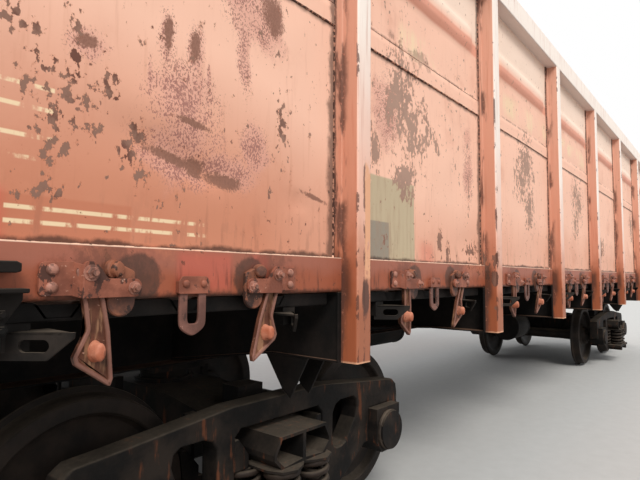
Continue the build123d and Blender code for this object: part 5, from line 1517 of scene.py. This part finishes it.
for tag, end in (("a", -1), ("b", 1)):
    coils = Form()
    for side in (-1, 1):
        for dx, dy in SPRING_SPOTS:
            x, y = end * BOLSTER_X + dx, side * (JOURNAL_Y + dy)
            coils.join(coil(x, y, 0.0785, 0.0155, 5.2))
            coils.join(coil(x, y, 0.0440, 0.0095, 7.5, hand=-1))
    piece(f"coil_springs_{tag}", coils, "spring", f"bogie_{tag}", (f"springs_{tag}",), crease=60)

# %% [markdown]
# ## Bogie castings
# The solid model already has the side frames, bolsters, wedges and brake beams with their windows and
# chambers. A casting's edges are round, so these keep their own mesh and get a wide soft bevel. What
# the solids leave out is added here: the axle box covers with their bolts.

# %% Castings and axle box covers
CASTINGS = {
    "side_frames": 0.011, "bogie_bolster": 0.009, "wedges": 0.006, "axle_boxes": 0.007, "brake_beams": 0.003,
}
COVER = [(0, 124), (12, 126), (18, 122), (18, 100), (26, 96), (30, 88), (30, 55), (27, 50), (27, 0)]
COVER_Y, COVER_BOLTS, BOLT_CIRCLE = 1.140, 8, 0.111

for tag, end in (("a", -1), ("b", 1)):
    for name, width in CASTINGS.items():
        soften(NODES[f"{name}_{tag}"], width)
    covers = Form()
    for x in (end * BOLSTER_X - HALF_BASE, end * BOLSTER_X + HALF_BASE):
        cover = turned(in_metres(COVER, -1), (x, -COVER_Y, WHEEL_Z), "y", 40)
        for number in range(COVER_BOLTS):
            angle = 2 * math.pi * (number + 0.5) / COVER_BOLTS
            bolt_x, bolt_z = x + BOLT_CIRCLE * math.cos(angle), WHEEL_Z + BOLT_CIRCLE * math.sin(angle)
            cover.join(bolt((bolt_x, -COVER_Y - 0.018, bolt_z), -1, 0.0095, 0.009))
        covers.join(on_both_sides(cover))
    piece(f"box_covers_{tag}", covers, "cover", f"bogie_{tag}", crease=30)

# %% [markdown]
# ## The rest of the frame and its fittings
# Rolled and pressed pieces keep the solid model's mesh too. They get small bevels, so that no edge is
# as sharp as a knife, and the fittings that the solids leave out: bolts with their nuts and washers,
# and bands on the air tanks.

# %% Rolled and pressed pieces
SOFT = {
    "centre_sill": 0.004, "ridge_beam": 0.003, "cross_beams": 0.003, "bolster_beams": 0.003,
    "centre_plates": 0.006, "end_beams": 0.003, "end_walls": 0.008, "top_chords": 0.009,
    "corner_posts": 0.006, "towing_brackets": 0.004, "end_ladders": 0.002, "corner_steps": 0.002,
    "uncoupling_levers": 0.002,
    "couplers": 0.014, "striker_castings": 0.008, "brake_cylinder": 0.004, "air_reservoir": 0.006,
    "brake_pipe": 0.002, "end_floors": 0.001,
}
for name, width in SOFT.items():
    soften(NODES[name], width)
print("softened", len(SOFT), "carried-over pieces")

# %% Bolts and bands
fittings = Form()
for end in (-1, 1):
    for side in (-1, 1):
        for x in (5.80, 6.14):
            for z in (1.36, 1.32):
                fittings.join(bolt((end * x, side * 1.511, RAIL_Z + z), side, 0.013, 0.011, shank=0.006))
    for y in (-0.160, 0.160):
        for z in (0.96, 1.22):
            fittings.join(bolt((end * 6.460, y, RAIL_Z + z), end, 0.015, 0.012, shank=0.008, axis="x"))
piece("frame_bolts", fittings, "frame", crease=30)

# The tanks: where each starts, its length, distance from the middle and radius
TANKS = ((0.70, 0.48, -0.440, 0.178), (-1.50, 0.82, 0.470, 0.150))
TANK_Z, BAND_HALF, BAND_T = RAIL_Z + 0.790, 0.012, 0.005
bands = Form()
for x0, length, y, radius in TANKS:
    over = radius + BAND_T
    profile = [(-BAND_HALF, radius), (-BAND_HALF, over), (BAND_HALF, over), (BAND_HALF, radius)]
    for share in (0.06, 0.94):
        bands.join(turned(profile, (x0 + length * share, y, TANK_Z), "x", 48))
piece("tank_bands", bands, "frame")
print("pieces:", len(TRIANGLES), "triangles:", sum(TRIANGLES.values()))
